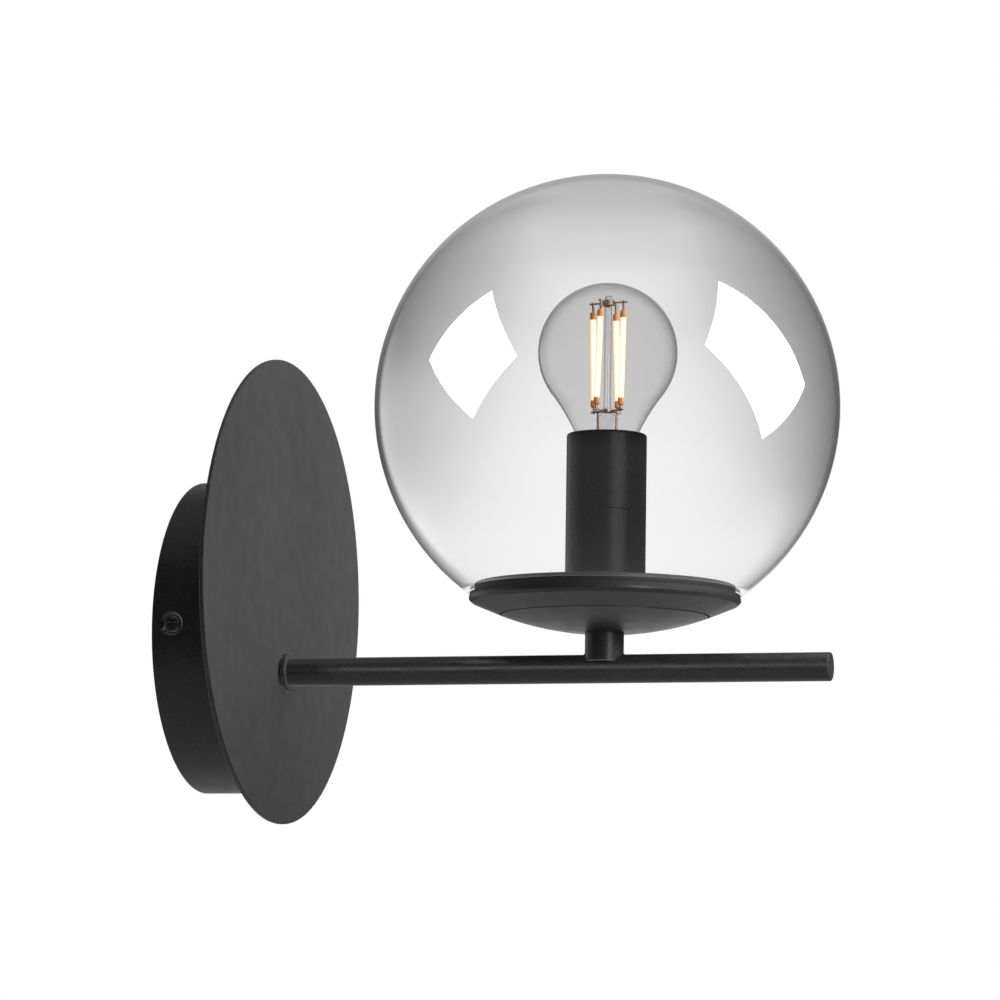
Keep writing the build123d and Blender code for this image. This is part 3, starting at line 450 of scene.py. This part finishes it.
beads = []
for side in (-1, 1):
    line = []
    for step in range(WELD_STEPS):
        across = WELD_SPAN * (2 * step / (WELD_STEPS - 1) - 1)
        line.append((across, STEM_Y + side * sqrt(STEM_R ** 2 - across ** 2),
                     ARM_Z + sqrt(ARM_R ** 2 - across ** 2)))
    beads.append(along("bead", line, WELD_R))
weld = join(beads, "stem_weld", 60)
weld.data.materials.append(black_coat)
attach(weld, "fixture")

# ------------------------------------------------------------------ bracket and fasteners
# The strap, its screws, the studs and the locknuts are steel with a bright zinc plating, which
# shows faint rolling lines and small cloudy patches.

ZINC_LINES = 900.0


def plated(name, colour, roughness, cloud_scale):
    """Plated or turned metal with fine lines and a cloudy sheen."""
    material, shade = blank(name)
    where = shade.node("ShaderNodeTexCoord", output="Object")
    drawn = shade.node("ShaderNodeMapping", {"Vector": where, "Scale": (0.08, 1, 1)})
    lines = shade.node("ShaderNodeTexNoise", {"Vector": drawn, "Scale": ZINC_LINES, "Detail": 2})
    cloud = shade.node("ShaderNodeTexNoise", {"Vector": where, "Scale": cloud_scale, "Detail": 3})
    dull = tuple(0.72 * part for part in colour[:3]) + (1,)
    tone = shade.node("ShaderNodeMix", {0: cloud.ease(0.3, 0.75), 6: dull, 7: colour},
                      output=2, data_type="RGBA")
    bump = shade.node("ShaderNodeBump", {"Height": lines, "Strength": 0.15, "Distance": 0.00004})
    surface(shade, shade.node("ShaderNodeBsdfPrincipled", {
        "Base Color": tone,
        "Metallic": 1,
        "Roughness": cloud.ease(0.2, 0.8, roughness - 0.06, roughness + 0.1),
        "Normal": bump,
    }))
    return material


zinc = plated("zinc_plated_steel", (0.62, 0.64, 0.66, 1), 0.34, 240.0)
finish_nodes(zinc, "wall_bracket", "disc_studs", "disc_nuts", "arm_root_insert", "arm_earth_tag")
finish_nodes(zinc, "arm_locknut", "pan_locknut", "centre_nipple", "holder_nut", "terminal_fixing")
finish_nodes(zinc, "earth_lug", "earth_screw")

# ------------------------------------------------------------------ terminals and wires
# A white moulded block with brass inserts and screws. The wires have soft PVC covers: brown and
# blue for the lamp, and green with yellow sides for the earth.

brass = plated("brass", (0.76, 0.55, 0.25, 1), 0.3, 300.0)
finish_nodes(brass, "terminal_inserts", "terminal_screws", "holder_posts", "centre_contact")
finish_nodes(brass, "shell_contact", "screw_shell")


def moulded(name, colour, roughness, grain_scale, grain_height, stripe=None, sheen=0.4):
    """Moulded plastic with a fine spark-eroded grain, and its sides in a second colour if it has one."""
    material, shade = blank(name)
    where = shade.node("ShaderNodeTexCoord", output="Object")
    grain = shade.node("ShaderNodeTexNoise", {"Vector": where, "Scale": grain_scale, "Detail": 3})
    shadow = tuple(0.82 * part for part in colour[:3]) + (1,)
    tone = shade.node("ShaderNodeMix", {0: grain.ease(0.3, 0.7), 6: shadow, 7: colour},
                      output=2, data_type="RGBA")
    if stripe:
        facing = shade.node("ShaderNodeTexCoord", output="Normal")
        out = shade.node("ShaderNodeSeparateXYZ", {0: facing}, output="Y")
        sides = shade.math("ABSOLUTE", out).ease(0.55, 0.65)
        tone = shade.node("ShaderNodeMix", {0: sides, 6: tone, 7: stripe}, output=2, data_type="RGBA")
    bump = shade.node("ShaderNodeBump", {"Height": grain, "Strength": 0.12, "Distance": grain_height})
    surface(shade, shade.node("ShaderNodeBsdfPrincipled", {
        "Base Color": tone,
        "Roughness": grain.ease(0.2, 0.8, roughness - 0.05, roughness + 0.05),
        "Specular IOR Level": sheen,
        "Normal": bump,
    }))
    return material


WIRE_COVERS = [  # the wire, its cover, and the cover's colour and stripe
    ("wire_live", "brown_cover", (0.13, 0.055, 0.025, 1), None),
    ("wire_neutral", "blue_cover", (0.03, 0.12, 0.42, 1), None),
    ("earth_wire", "earth_cover", (0.05, 0.28, 0.05, 1), (0.75, 0.62, 0.03, 1)),
]
finish_nodes(moulded("block_plastic", grey(0.72), 0.45, 1400.0, 0.00004), "terminal_block")
for wire, cover, colour, stripe in WIRE_COVERS:
    finish_nodes(moulded(cover, colour, 0.42, 900.0, 0.00003, stripe), wire)

# ------------------------------------------------------------------ lampholder
# A slim black moulded sleeve with two L-shaped latch slits, over a threaded base and a pale
# insulating core. The gasket under the glass is black silicone.

holder_black = moulded("holder_plastic_black", grey(0.01), 0.3, 1200.0, 0.000001, sheen=0.14)
finish_nodes(holder_black, "holder_sleeve", "holder_base")
finish_nodes(moulded("holder_core_plastic", grey(0.012), 0.42, 1300.0, 0.00003), "holder_core")
finish_nodes(moulded("silicone_black", grey(0.012), 0.62, 1100.0, 0.00003), "glass_gasket")

# ------------------------------------------------------------------ globe
# Blown glass, 1.2 mm thick, smoked with a fade: nearly clear round its mouth and darker towards its top.
# From the side its flanks and outline are darker still: a little from the longer way through the glass,
# the rest painted shade, which leaves a lighter column down its middle. Its cut edge is fire polished.

GLASS_WALL = 1.2 * MM
POLISH_R = 0.4 * MM
GLASS_SHINE = 0.03
GLASS_EDGE_POWER = 3.0
# The near black that the globe's smoke, and the painted shade on both glasses, fade towards.
SMOKE_AND_SHADE_COLOUR = grey(0.012)


def glass_wall(name, smoke_and_shade_depth, shine, edge_power=GLASS_EDGE_POWER, shiny=True):
    """One face of a glass wall: smoke and painted shade of a given optical depth, and its reflection if
    shiny.
    """
    material, shade = blank(name)
    facing = shade.node("ShaderNodeLayerWeight", {"Blend": 0.5}, output="Facing")
    where = shade.node("ShaderNodeTexCoord", output="Object")
    clear = shade.node("ShaderNodeBsdfTransparent", {"Color": grey(1)})
    smoke = shade.node("ShaderNodeBsdfTransparent", {"Color": SMOKE_AND_SHADE_COLOUR})
    share = 1 - shade.math("EXPONENT", smoke_and_shade_depth(shade, where, facing) * -1)
    glass = shade.node("ShaderNodeMixShader", {0: share, 1: clear, 2: smoke})
    if shiny:
        behind = shade.node("ShaderNodeNewGeometry", output="Backfacing")
        gloss = shade.node("ShaderNodeBsdfGlossy", {"Color": grey(1), "Roughness": 0.015})
        mirror = (shine + (1 - shine) * facing ** edge_power) * (1 - behind)
        glass = shade.node("ShaderNodeMixShader", {0: mirror, 1: glass, 2: gloss})
    surface(shade, glass)
    return material


def by_height(shade, height, steps):
    """A value that follows the globe's height, from its foot at -1 to its top at 1."""
    stops = [((place + 1) / 2, grey(value)) for place, value in steps]
    return shade.node("ShaderNodeValToRGB", {0: (height + 1) * 0.5}, stops=stops)


SMOKE_MIDDLE = [(-1, 0.08), (-0.5, 0.08), (-0.25, 0.09), (0, 0.13), (0.25, 0.16), (0.5, 0.16), (0.7, 0.0),
                (0.85, 0.2), (0.93, 0.5), (1, 0.7)]
# How deep the flanks go, by height: a little of it the longer way through the glass, the rest painted shade.
FLANK_SMOKE_AND_PAINTED_SHADE = [(-1, 0.0), (-0.65, 0.0), (-0.5, 0.18), (-0.25, 0.85), (0, 1.0), (0.25, 0.95), (0.5, 0.82),
               (0.7, 0.7), (0.85, 0.35), (1, 0.05)]
FLANK_SMOKE_AND_PAINTED_SHADE_DEPTH = 1.15
FLANK_SHADE_CURVE = [(-1, 1.0), (0, 1.0), (0.25, 0.8), (0.5, 0.36), (0.7, 0.28), (1, 0.3)]
FLANK_SHADE_CURVE_POWER = 3.0
# Painted shade at the globe's outline.
PAINTED_RIM_SHADE = 0.22


def globe_smoke_and_painted_shade(shade, where, facing):
    """Half the depth seen through both walls: the smoke deepens it towards the top, and painted shade towards
    the flanks and outline.
    """
    height = (shade.node("ShaderNodeSeparateXYZ", {0: where}, output="Z") - GLOBE_CENTRE.z) / GLOBE_R
    straight = 1 - facing
    level = shade.math("MAXIMUM", 1 - height * height, 0.02)
    sideways = shade.math("SMOOTH_MAX", 1 - straight * straight / level, 0.0, 0.2) ** 0.5
    middle = by_height(shade, height, SMOKE_MIDDLE)
    # Painted shade over the flanks, with a little real depth from the longer way through the glass. It leaves
    # a lighter column down the middle.
    sides = by_height(shade, height, FLANK_SMOKE_AND_PAINTED_SHADE) * FLANK_SMOKE_AND_PAINTED_SHADE_DEPTH
    power = by_height(shade, height, FLANK_SHADE_CURVE) * FLANK_SHADE_CURVE_POWER
    # A painted dark outline round the globe.
    rim = facing.ease(0.74, 0.86, 0.0, PAINTED_RIM_SHADE)
    return (middle + sides * sideways ** power) * 0.5 + rim


def thin_smoke(shade, where, facing):
    """The faint grey of the glass itself."""
    return facing * 0.02


def thicken(piece, outside, inside, wall):
    """Gives an outer skin its thickness; the inner face and the rim have a second material."""
    piece.data.materials.append(outside)
    piece.data.materials.append(inside)
    thick = piece.modifiers.new("wall", "SOLIDIFY")
    thick.thickness = wall
    thick.offset = -1
    thick.material_offset = 1
    thick.material_offset_rim = 1
    apply_all(piece)
    bpy.ops.object.shade_smooth()


globe = begin("globe_shell", bpy.ops.mesh.primitive_uv_sphere_add,
              segments=128, ring_count=80, radius=GLOBE_R, location=GLOBE_CENTRE)
bpy.ops.mesh.select_all(action="SELECT")
bpy.ops.mesh.bisect(plane_co=(0, STEM_Y, GLOBE_LOW.z), plane_no=(0, 0, 1), clear_inner=True)
smoked = glass_wall("smoked_glass_outer", globe_smoke_and_painted_shade, GLASS_SHINE)
inner_face = glass_wall("smoked_glass_inner", thin_smoke, 0.0, shiny=False)
thicken(globe, smoked, inner_face, GLASS_WALL)
bpy.ops.object.mode_set(mode="EDIT")
pick(globe, lambda centre, normal: centre.z < GLOBE_LOW.z + POLISH_R and normal.z < -0.9)
bpy.ops.mesh.bevel(offset=POLISH_R, segments=3, affect="EDGES")
bpy.ops.object.mode_set(mode="OBJECT")
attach(globe, "globe")
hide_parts("globe_glass")

# ------------------------------------------------------------------ lamp's envelope
# A thin clear golf-ball bulb: a round ball that runs down in a hollow curve to a narrow neck, which
# is sealed into the cap.

LAMP_AXIS = Vector((0, STEM_Y, 0))
BALL_R = 22.5 * MM
BALL_CENTRE = LAMP_AXIS + Vector((0, 0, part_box("bulb_glass")[1].z - BALL_R))
NECK_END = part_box("bulb_glass")[0].z
NECK_R = 8.5 * MM
HOLLOW_R = 68.0 * MM
NECK_STEPS = 14
BULB_WALL = 0.8 * MM


def turn_on(rings):
    """Extrudes the selected edges down or up the lamp's axis through (radius, radius, height) rings."""
    for (wide, deep, low), (next_wide, next_deep, high) in zip(rings, rings[1:]):
        bpy.ops.mesh.extrude_region_move(TRANSFORM_OT_translate={"value": (0, 0, high - low)})
        bpy.ops.transform.resize(value=(next_wide / wide, next_deep / deep, 1),
                                 center_override=LAMP_AXIS + Vector((0, 0, high)))


drop = BALL_CENTRE.z - NECK_END
apart = sqrt(NECK_R ** 2 + drop ** 2)
from_ball = BALL_R + HOLLOW_R
run = (from_ball ** 2 - HOLLOW_R ** 2 + apart ** 2) / (2 * apart)
off = sqrt(from_ball ** 2 - run ** 2)
hollow_x = (run * NECK_R + off * drop) / apart
hollow_z = BALL_CENTRE.z + (off * NECK_R - run * drop) / apart
meet = BALL_CENTRE.z + (hollow_z - BALL_CENTRE.z) * BALL_R / from_ball
neck = []
for step in range(NECK_STEPS + 1):
    height = meet + (NECK_END - meet) * step / NECK_STEPS
    radius = hollow_x - sqrt(HOLLOW_R ** 2 - (height - hollow_z) ** 2)
    neck.append((radius, radius, height))

bulb = begin("bulb_envelope", bpy.ops.mesh.primitive_uv_sphere_add,
             segments=96, ring_count=64, radius=BALL_R, location=BALL_CENTRE)
bpy.ops.mesh.select_all(action="SELECT")
bpy.ops.mesh.bisect(plane_co=(0, STEM_Y, meet), plane_no=(0, 0, 1), clear_inner=True)
bpy.ops.mesh.select_all(action="DESELECT")
bpy.ops.mesh.select_mode(type="EDGE")
bpy.ops.mesh.select_non_manifold()
turn_on(neck)


LAMP_GREY = 0.2
# Painted shade over the bulb's flanks, and a painted dark outline.
LAMP_PAINTED_FLANK_SHADE = 0.35
LAMP_PAINTED_OUTLINE = 0.9
LAMP_EDGE_POWER = 5.0


def lamp_grey_and_painted_shade(shade, where, facing):
    """The lamp's clear glass, a little grey, with painted shade over its flanks and a painted dark outline.
    """
    return LAMP_GREY + facing.ease(0.4, 0.97, 0.0, LAMP_PAINTED_FLANK_SHADE) + facing.ease(0.88, 1.0, 0.0, LAMP_PAINTED_OUTLINE)


lamp_outer = glass_wall("lamp_glass", lamp_grey_and_painted_shade, 0.0, LAMP_EDGE_POWER)
lamp_inner = glass_wall("lamp_glass_inner", thin_smoke, 0.0, shiny=False)
thicken(bulb, lamp_outer, lamp_inner, BULB_WALL)
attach(bulb, "lamp")
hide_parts("bulb_glass")

# ------------------------------------------------------------------ lamp's mount
# A flare of clear glass, sealed to the neck, narrows to a flat pinch that holds the lead wires. A
# glass rod stands on it, up the middle of the bulb.

ROD_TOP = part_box("bulb_mount")[1].z
ROD_END = [(1.2, -0.5), (0.95, -0.15), (0.5, 0.0)]  # radius, and height from the rod's top, in mm
MOUNT_RINGS = [  # half width and half depth, and height over the neck's end, all in mm
    (7.5, 7.5, 0.0), (7.4, 7.4, 0.9), (5.4, 5.6, 2.0), (3.2, 4.0, 3.4), (1.8, 3.5, 4.9),
    (1.25, 3.5, 5.9), (1.25, 3.5, 9.2), (1.3, 2.6, 10.0), (1.3, 1.6, 10.7), (1.2, 1.2, 11.6),
]

mount = begin("lamp_mount", bpy.ops.mesh.primitive_circle_add, vertices=40, radius=MOUNT_RINGS[0][0] * MM,
              fill_type="NGON", location=LAMP_AXIS + Vector((0, 0, NECK_END)))
rings = [(wide * MM, deep * MM, NECK_END + high * MM) for wide, deep, high in MOUNT_RINGS]
rings += [(radius * MM, radius * MM, ROD_TOP + high * MM) for radius, high in ROD_END]
bpy.ops.mesh.select_all(action="SELECT")
turn_on(rings)
bpy.ops.mesh.select_all(action="SELECT")
bpy.ops.mesh.normals_make_consistent(inside=False)
apply_all(mount)

mount_glass, shade = blank("mount_glass")
facing = shade.node("ShaderNodeLayerWeight", {"Blend": 0.5}, output="Facing")
clear = shade.node("ShaderNodeBsdfTransparent", {"Color": grey(0.96)})
# The clear glass turns a warm grey towards its outline: painted edge shade.
painted_edge_shade = shade.node("ShaderNodeBsdfTransparent", {"Color": grey(0.5, 0.25)})
gloss = shade.node("ShaderNodeBsdfGlossy", {"Color": grey(0.8), "Roughness": 0.05})
body = shade.node("ShaderNodeMixShader", {0: facing.ease(0.15, 0.85), 1: clear, 2: painted_edge_shade})
surface(shade, shade.node("ShaderNodeMixShader", {0: 0.05 + 0.5 * facing ** 3, 1: body, 2: gloss}))
place(join([mount], "lamp_mount", 40), mount_glass, "lamp", ["bulb_mount"], "lamp_glass")

# ------------------------------------------------------------------ filaments
# Four slim glowing strips stand round the rod, twisted a little, each with a metal end cap at both
# ends. Wire hooks hold the caps to a coil round the rod above, and to a collar at its foot.

STRIP_R = 0.95 * MM
STRIP_LOW = 73.15 * MM
STRIP_HIGH = 104.35 * MM
CAP_LONG = 2.9 * MM
CAP_R = 1.05 * MM
CAP_ROUND = 0.75 * MM
STRIP_RING_R = 5.5 * MM
STRIP_FACE = 66.5
STRIP_TURN = 12.0
STRIP_ROUND = 0.3 * MM
STRIP_GLOW = 1.7


def on_strip(height):
    """Where the first strip's line is at a height."""
    share = (height - STRIP_LOW) / (STRIP_HIGH - STRIP_LOW)
    foot, head = radians(STRIP_FACE), radians(STRIP_FACE + STRIP_TURN)
    low = Vector((cos(foot), sin(foot), 0)) * STRIP_RING_R
    high = Vector((cos(head), sin(head), 0)) * STRIP_RING_R
    return LAMP_AXIS + low.lerp(high, share) + Vector((0, 0, height))


def bar(start, end, thick, rounding, sides=20):
    """A round bar between two points, its ends rounded over."""
    line = end - start
    piece = begin("bar", bpy.ops.mesh.primitive_cylinder_add, vertices=sides, radius=thick, depth=line.length,
                  location=(start + end) / 2, rotation=line.to_track_quat("Z", "Y").to_euler())
    pick(piece, lambda centre, normal: abs(normal.dot(line.normalized())) > 0.9)
    bpy.ops.mesh.bevel(offset=rounding, segments=4, affect="EDGES")
    apply_all(piece)
    return piece


def four_times(pieces, name):
    """Joins pieces and copies them to the other three strips' places round the rod."""
    piece = join(pieces, name)
    bpy.ops.object.mode_set(mode="EDIT")
    bpy.ops.mesh.select_all(action="SELECT")
    bpy.ops.mesh.spin(steps=3, dupli=True, angle=radians(270), center=LAMP_AXIS, axis=(0, 0, 1))
    bpy.ops.object.mode_set(mode="OBJECT")
    return piece


glow, shade = blank("filament_glow")
facing = shade.node("ShaderNodeLayerWeight", {"Blend": 0.5}, output="Facing")
heat = shade.node("ShaderNodeValToRGB", {0: facing}, stops=[
    (0.0, (1.0, 0.92, 0.76, 1)),
    (0.2, (1.0, 0.68, 0.42, 1)),
    (0.6, (1.0, 0.4, 0.18, 1)),
])
surface(shade, shade.node("ShaderNodeBsdfPrincipled", {
    "Base Color": (0.8, 0.6, 0.3, 1),
    "Roughness": 0.6,
    "Emission Color": heat,
    "Emission Strength": STRIP_GLOW,
}))
strip = bar(on_strip(STRIP_LOW + CAP_LONG - CAP_ROUND), on_strip(STRIP_HIGH - CAP_LONG + CAP_ROUND),
            STRIP_R, STRIP_ROUND)
place(four_times([strip], "filament_strips"), glow, "lamp", ["led_filaments"], "filament")

caps = [bar(on_strip(STRIP_LOW), on_strip(STRIP_LOW + CAP_LONG), CAP_R, CAP_ROUND, 24),
        bar(on_strip(STRIP_HIGH - CAP_LONG), on_strip(STRIP_HIGH), CAP_R, CAP_ROUND, 24)]
cap_finish = moulded("filament_cap", (0.88, 0.36, 0.12, 1), 0.45, 1500.0, 0.00003)
place(four_times(caps, "filament_caps"), cap_finish, "lamp", ["filament_ends"], "filament_cap")

CARRIER_R = 0.3 * MM
HOOK_R = 0.42 * MM
COIL_R = 1.9 * MM
COIL_WIRE_R = 0.38 * MM
COIL_TURNS = 3
COIL_MIDDLE = 106.95 * MM
COIL_HIGH = 2.4 * MM
COIL_PROUD = 0.1 * MM
COLLAR_MIDDLE = 71.8 * MM
COLLAR_HIGH = 1.2 * MM
COLLAR_ROUND = 0.25 * MM
HOOK_PAST = 0.6 * MM
STUB = 1.2 * MM
CARRIER_ROUND = 0.1 * MM
HOOK_ROUND = 0.15 * MM
LEAD_R = 0.28 * MM
LEAD_SIDE = 2.9 * MM
LEAD_FOOT = 0.8 * MM
LEAD_BEND = 1.6 * MM
LEAD_KNEE = 0.6 * MM
LEAD_OUT = 3.6 * MM

parts = []
for middle, end, past in ((COIL_MIDDLE, STRIP_HIGH, HOOK_PAST), (COLLAR_MIDDLE, STRIP_LOW, -HOOK_PAST)):
    out = on_strip(middle) - LAMP_AXIS - Vector((0, 0, middle))
    reach = out.length
    axis = LAMP_AXIS + Vector((0, 0, middle))
    parts.append(bar(axis + out * ((COIL_R - CARRIER_R) / reach), axis + out * ((reach + STUB) / reach),
                     CARRIER_R, CARRIER_ROUND, 12))
    parts.append(bar(on_strip(end), on_strip(middle + past), HOOK_R, HOOK_ROUND, 14))
arms = four_times(parts, "carrier_arms")

coil = begin("carrier_coil", bpy.ops.mesh.primitive_circle_add, vertices=14, radius=COIL_WIRE_R,
             location=LAMP_AXIS + Vector((0, 0, COIL_MIDDLE - COIL_HIGH / 2 + COIL_WIRE_R)),
             rotation=(pi / 2, 0, 0))
bpy.ops.object.mode_set(mode="OBJECT")
bpy.ops.object.transform_apply(location=False, rotation=True, scale=False)
bpy.ops.object.mode_set(mode="EDIT")
bpy.ops.mesh.select_all(action="SELECT")
bpy.ops.transform.translate(value=(COIL_R - COIL_WIRE_R + COIL_PROUD, 0, 0))
wound = coil.modifiers.new("turns", "SCREW")
wound.iterations = COIL_TURNS
wound.screw_offset = (COIL_HIGH - 2 * COIL_WIRE_R) / COIL_TURNS
wound.steps = 32
wound.render_steps = 32
wound.use_merge_vertices = True
apply_all(coil)
bpy.ops.object.mode_set(mode="EDIT")
bpy.ops.mesh.select_all(action="SELECT")
bpy.ops.mesh.remove_doubles(threshold=2 * MERGE)
bpy.ops.mesh.select_all(action="DESELECT")
bpy.ops.mesh.select_mode(type="EDGE")
bpy.ops.mesh.select_non_manifold()
bpy.ops.mesh.edge_face_add()
bpy.ops.mesh.select_all(action="SELECT")
bpy.ops.mesh.normals_make_consistent(inside=False)
bpy.ops.object.mode_set(mode="OBJECT")

collar = begin("carrier_collar", bpy.ops.mesh.primitive_cylinder_add, vertices=32, radius=COIL_R,
               depth=COLLAR_HIGH, location=LAMP_AXIS + Vector((0, 0, COLLAR_MIDDLE)))
pick(collar, lambda centre, normal: abs(normal.z) > 0.9)
bpy.ops.mesh.bevel(offset=COLLAR_ROUND, segments=3, affect="EDGES")
apply_all(collar)

leads = []
for side in (-1, 1):
    foot = LAMP_AXIS + Vector((0, side * LEAD_SIDE, NECK_END + LEAD_FOOT))
    bend = LAMP_AXIS + Vector((0, side * LEAD_SIDE, COLLAR_MIDDLE - LEAD_BEND))
    knee = LAMP_AXIS + Vector((0, side * LEAD_OUT, COLLAR_MIDDLE - LEAD_KNEE))
    head = LAMP_AXIS + Vector((0, side * COIL_R * 0.9, COLLAR_MIDDLE))
    leads.append(along("lead", [foot, bend, knee, head], LEAD_R))
wire_finish = plated("carrier_wire", (0.62, 0.47, 0.34, 1), 0.42, 900.0)
place(join([arms, coil, collar] + leads, "filament_carrier_wires", 50), wire_finish, "lamp",
      ["filament_carriers"], "carrier_wire")

# ------------------------------------------------------------------ lamp's cap
# A nickel-plated screw cap rolled from thin brass, with a round thread, a flared skirt crimped to the
# neck, a black glass insulator and a soldered tip.

SKIRT_R = 8.6 * MM
SKIRT_HIGH = 3.6 * MM
THREAD_R = 6.95 * MM
THREAD_DEPTH = 0.6 * MM
THREAD_PITCH = 2.82 * MM
THREAD_STEPS = 10
CAP_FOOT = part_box("bulb_cap")[0].z
CAP_EDGE = 0.3 * MM
SKIRT_STEP = 0.5 * MM
SKIRT_CORNER = 0.35 * MM
SKIRT_CRIMP = 0.2 * MM
LIP_HIGH = 1.0 * MM
SHEET = 0.3 * MM

thread_high = NECK_END - SKIRT_HIGH - SKIRT_STEP
thread_low = CAP_FOOT + LIP_HIGH
turns = int((thread_high - thread_low) / THREAD_PITCH) + 2
cap = begin("lamp_cap", bpy.ops.mesh.primitive_circle_add, vertices=3, radius=THREAD_R,
            location=LAMP_AXIS + Vector((0, 0, thread_low - THREAD_PITCH)))
bpy.ops.mesh.select_mode(type="VERT")
bpy.ops.mesh.delete(type="VERT")
bpy.ops.object.mode_set(mode="OBJECT")
profile = []
for step in range(THREAD_STEPS + 1):
    round_part = THREAD_DEPTH * (0.5 - 0.5 * cos(2 * pi * step / THREAD_STEPS))
    profile.append((THREAD_R - THREAD_DEPTH + round_part, 0, THREAD_PITCH * step / THREAD_STEPS))
cap.data.from_pydata(profile, [(n, n + 1) for n in range(THREAD_STEPS)], [])
rolled = cap.modifiers.new("thread", "SCREW")
rolled.iterations = turns
rolled.screw_offset = THREAD_PITCH
rolled.steps = 48
rolled.render_steps = 48
rolled.use_merge_vertices = True
apply_all(cap)
bpy.ops.object.mode_set(mode="EDIT")
for height, side in ((thread_low, 1), (thread_high, -1)):
    bpy.ops.mesh.select_all(action="SELECT")
    bpy.ops.mesh.bisect(plane_co=LAMP_AXIS + Vector((0, 0, height)), plane_no=(0, 0, side), clear_inner=True)
bpy.ops.mesh.select_all(action="SELECT")
bpy.ops.mesh.remove_doubles(threshold=2 * MERGE)
bpy.ops.object.mode_set(mode="OBJECT")

root = THREAD_R - THREAD_DEPTH
skirt = begin("skirt", bpy.ops.mesh.primitive_circle_add, vertices=64, radius=root,
              location=LAMP_AXIS + Vector((0, 0, thread_high)))
bpy.ops.mesh.select_mode(type="EDGE")
bpy.ops.mesh.select_all(action="SELECT")
turn_on([(radius, radius, height) for radius, height in (
    (root, thread_high), (SKIRT_R - CAP_EDGE, NECK_END - SKIRT_HIGH),
    (SKIRT_R, NECK_END - SKIRT_HIGH + SKIRT_CORNER), (SKIRT_R, NECK_END - CAP_EDGE),
    (SKIRT_R - SKIRT_CRIMP, NECK_END))])
apply_all(skirt)
lip = begin("lip", bpy.ops.mesh.primitive_circle_add, vertices=64, radius=root,
            location=LAMP_AXIS + Vector((0, 0, thread_low)))
bpy.ops.mesh.select_mode(type="EDGE")
bpy.ops.mesh.select_all(action="SELECT")
turn_on([(radius, radius, height) for radius, height in (
    (root, thread_low), (root, CAP_FOOT + CAP_EDGE), (root - CAP_EDGE, CAP_FOOT))])
apply_all(lip)
cap = join([cap, skirt, lip], "lamp_cap")
bpy.ops.object.mode_set(mode="EDIT")
bpy.ops.mesh.select_all(action="SELECT")
bpy.ops.mesh.normals_make_consistent(inside=False)
sheet = cap.modifiers.new("sheet", "SOLIDIFY")
sheet.thickness = SHEET
sheet.offset = -1
apply_all(cap)
place(cap, plated("lamp_cap_nickel", (0.66, 0.62, 0.55, 1), 0.28, 300.0), "lamp", ["bulb_cap"], "lamp_cap")

finish_nodes(moulded("cap_insulator_glass", grey(0.012), 0.15, 300.0, 0.00002), "bulb_insulator")
finish_nodes(plated("solder", (0.55, 0.56, 0.58, 1), 0.38, 500.0), "bulb_tip")

# ------------------------------------------------------------------ what each light falls on
# The windows fall on the globe alone, and no lamp falls on the globe or the bulb. The disc with its
# collar and the arm with its plug have a lamp more, and the lampholder's sleeve has only its own.


def falls_on(light, pieces):
    """Lets a light reach these pieces alone."""
    lit = bpy.data.collections.new(light.name + "_falls_on")
    for piece in pieces:
        lit.objects.link(piece)
    light.light_linking.receiver_collection = lit


sleeve = nodes["holder_sleeve"]
lit_apart = (globe, bulb, sleeve, floor)
others = [piece for piece in bpy.data.objects if piece.type == "MESH" and piece not in lit_apart]
for light in windows:
    falls_on(light, [globe])
for light in (key_light, front_light):
    falls_on(light, others)
falls_on(disc_light, [nodes["face_disc"], nodes["arm_collar"]])
falls_on(holder_light, [sleeve])
falls_on(top_light, others + [floor])
falls_on(arm_light, [nodes["arm_tube"], nodes["arm_end_plug"]])
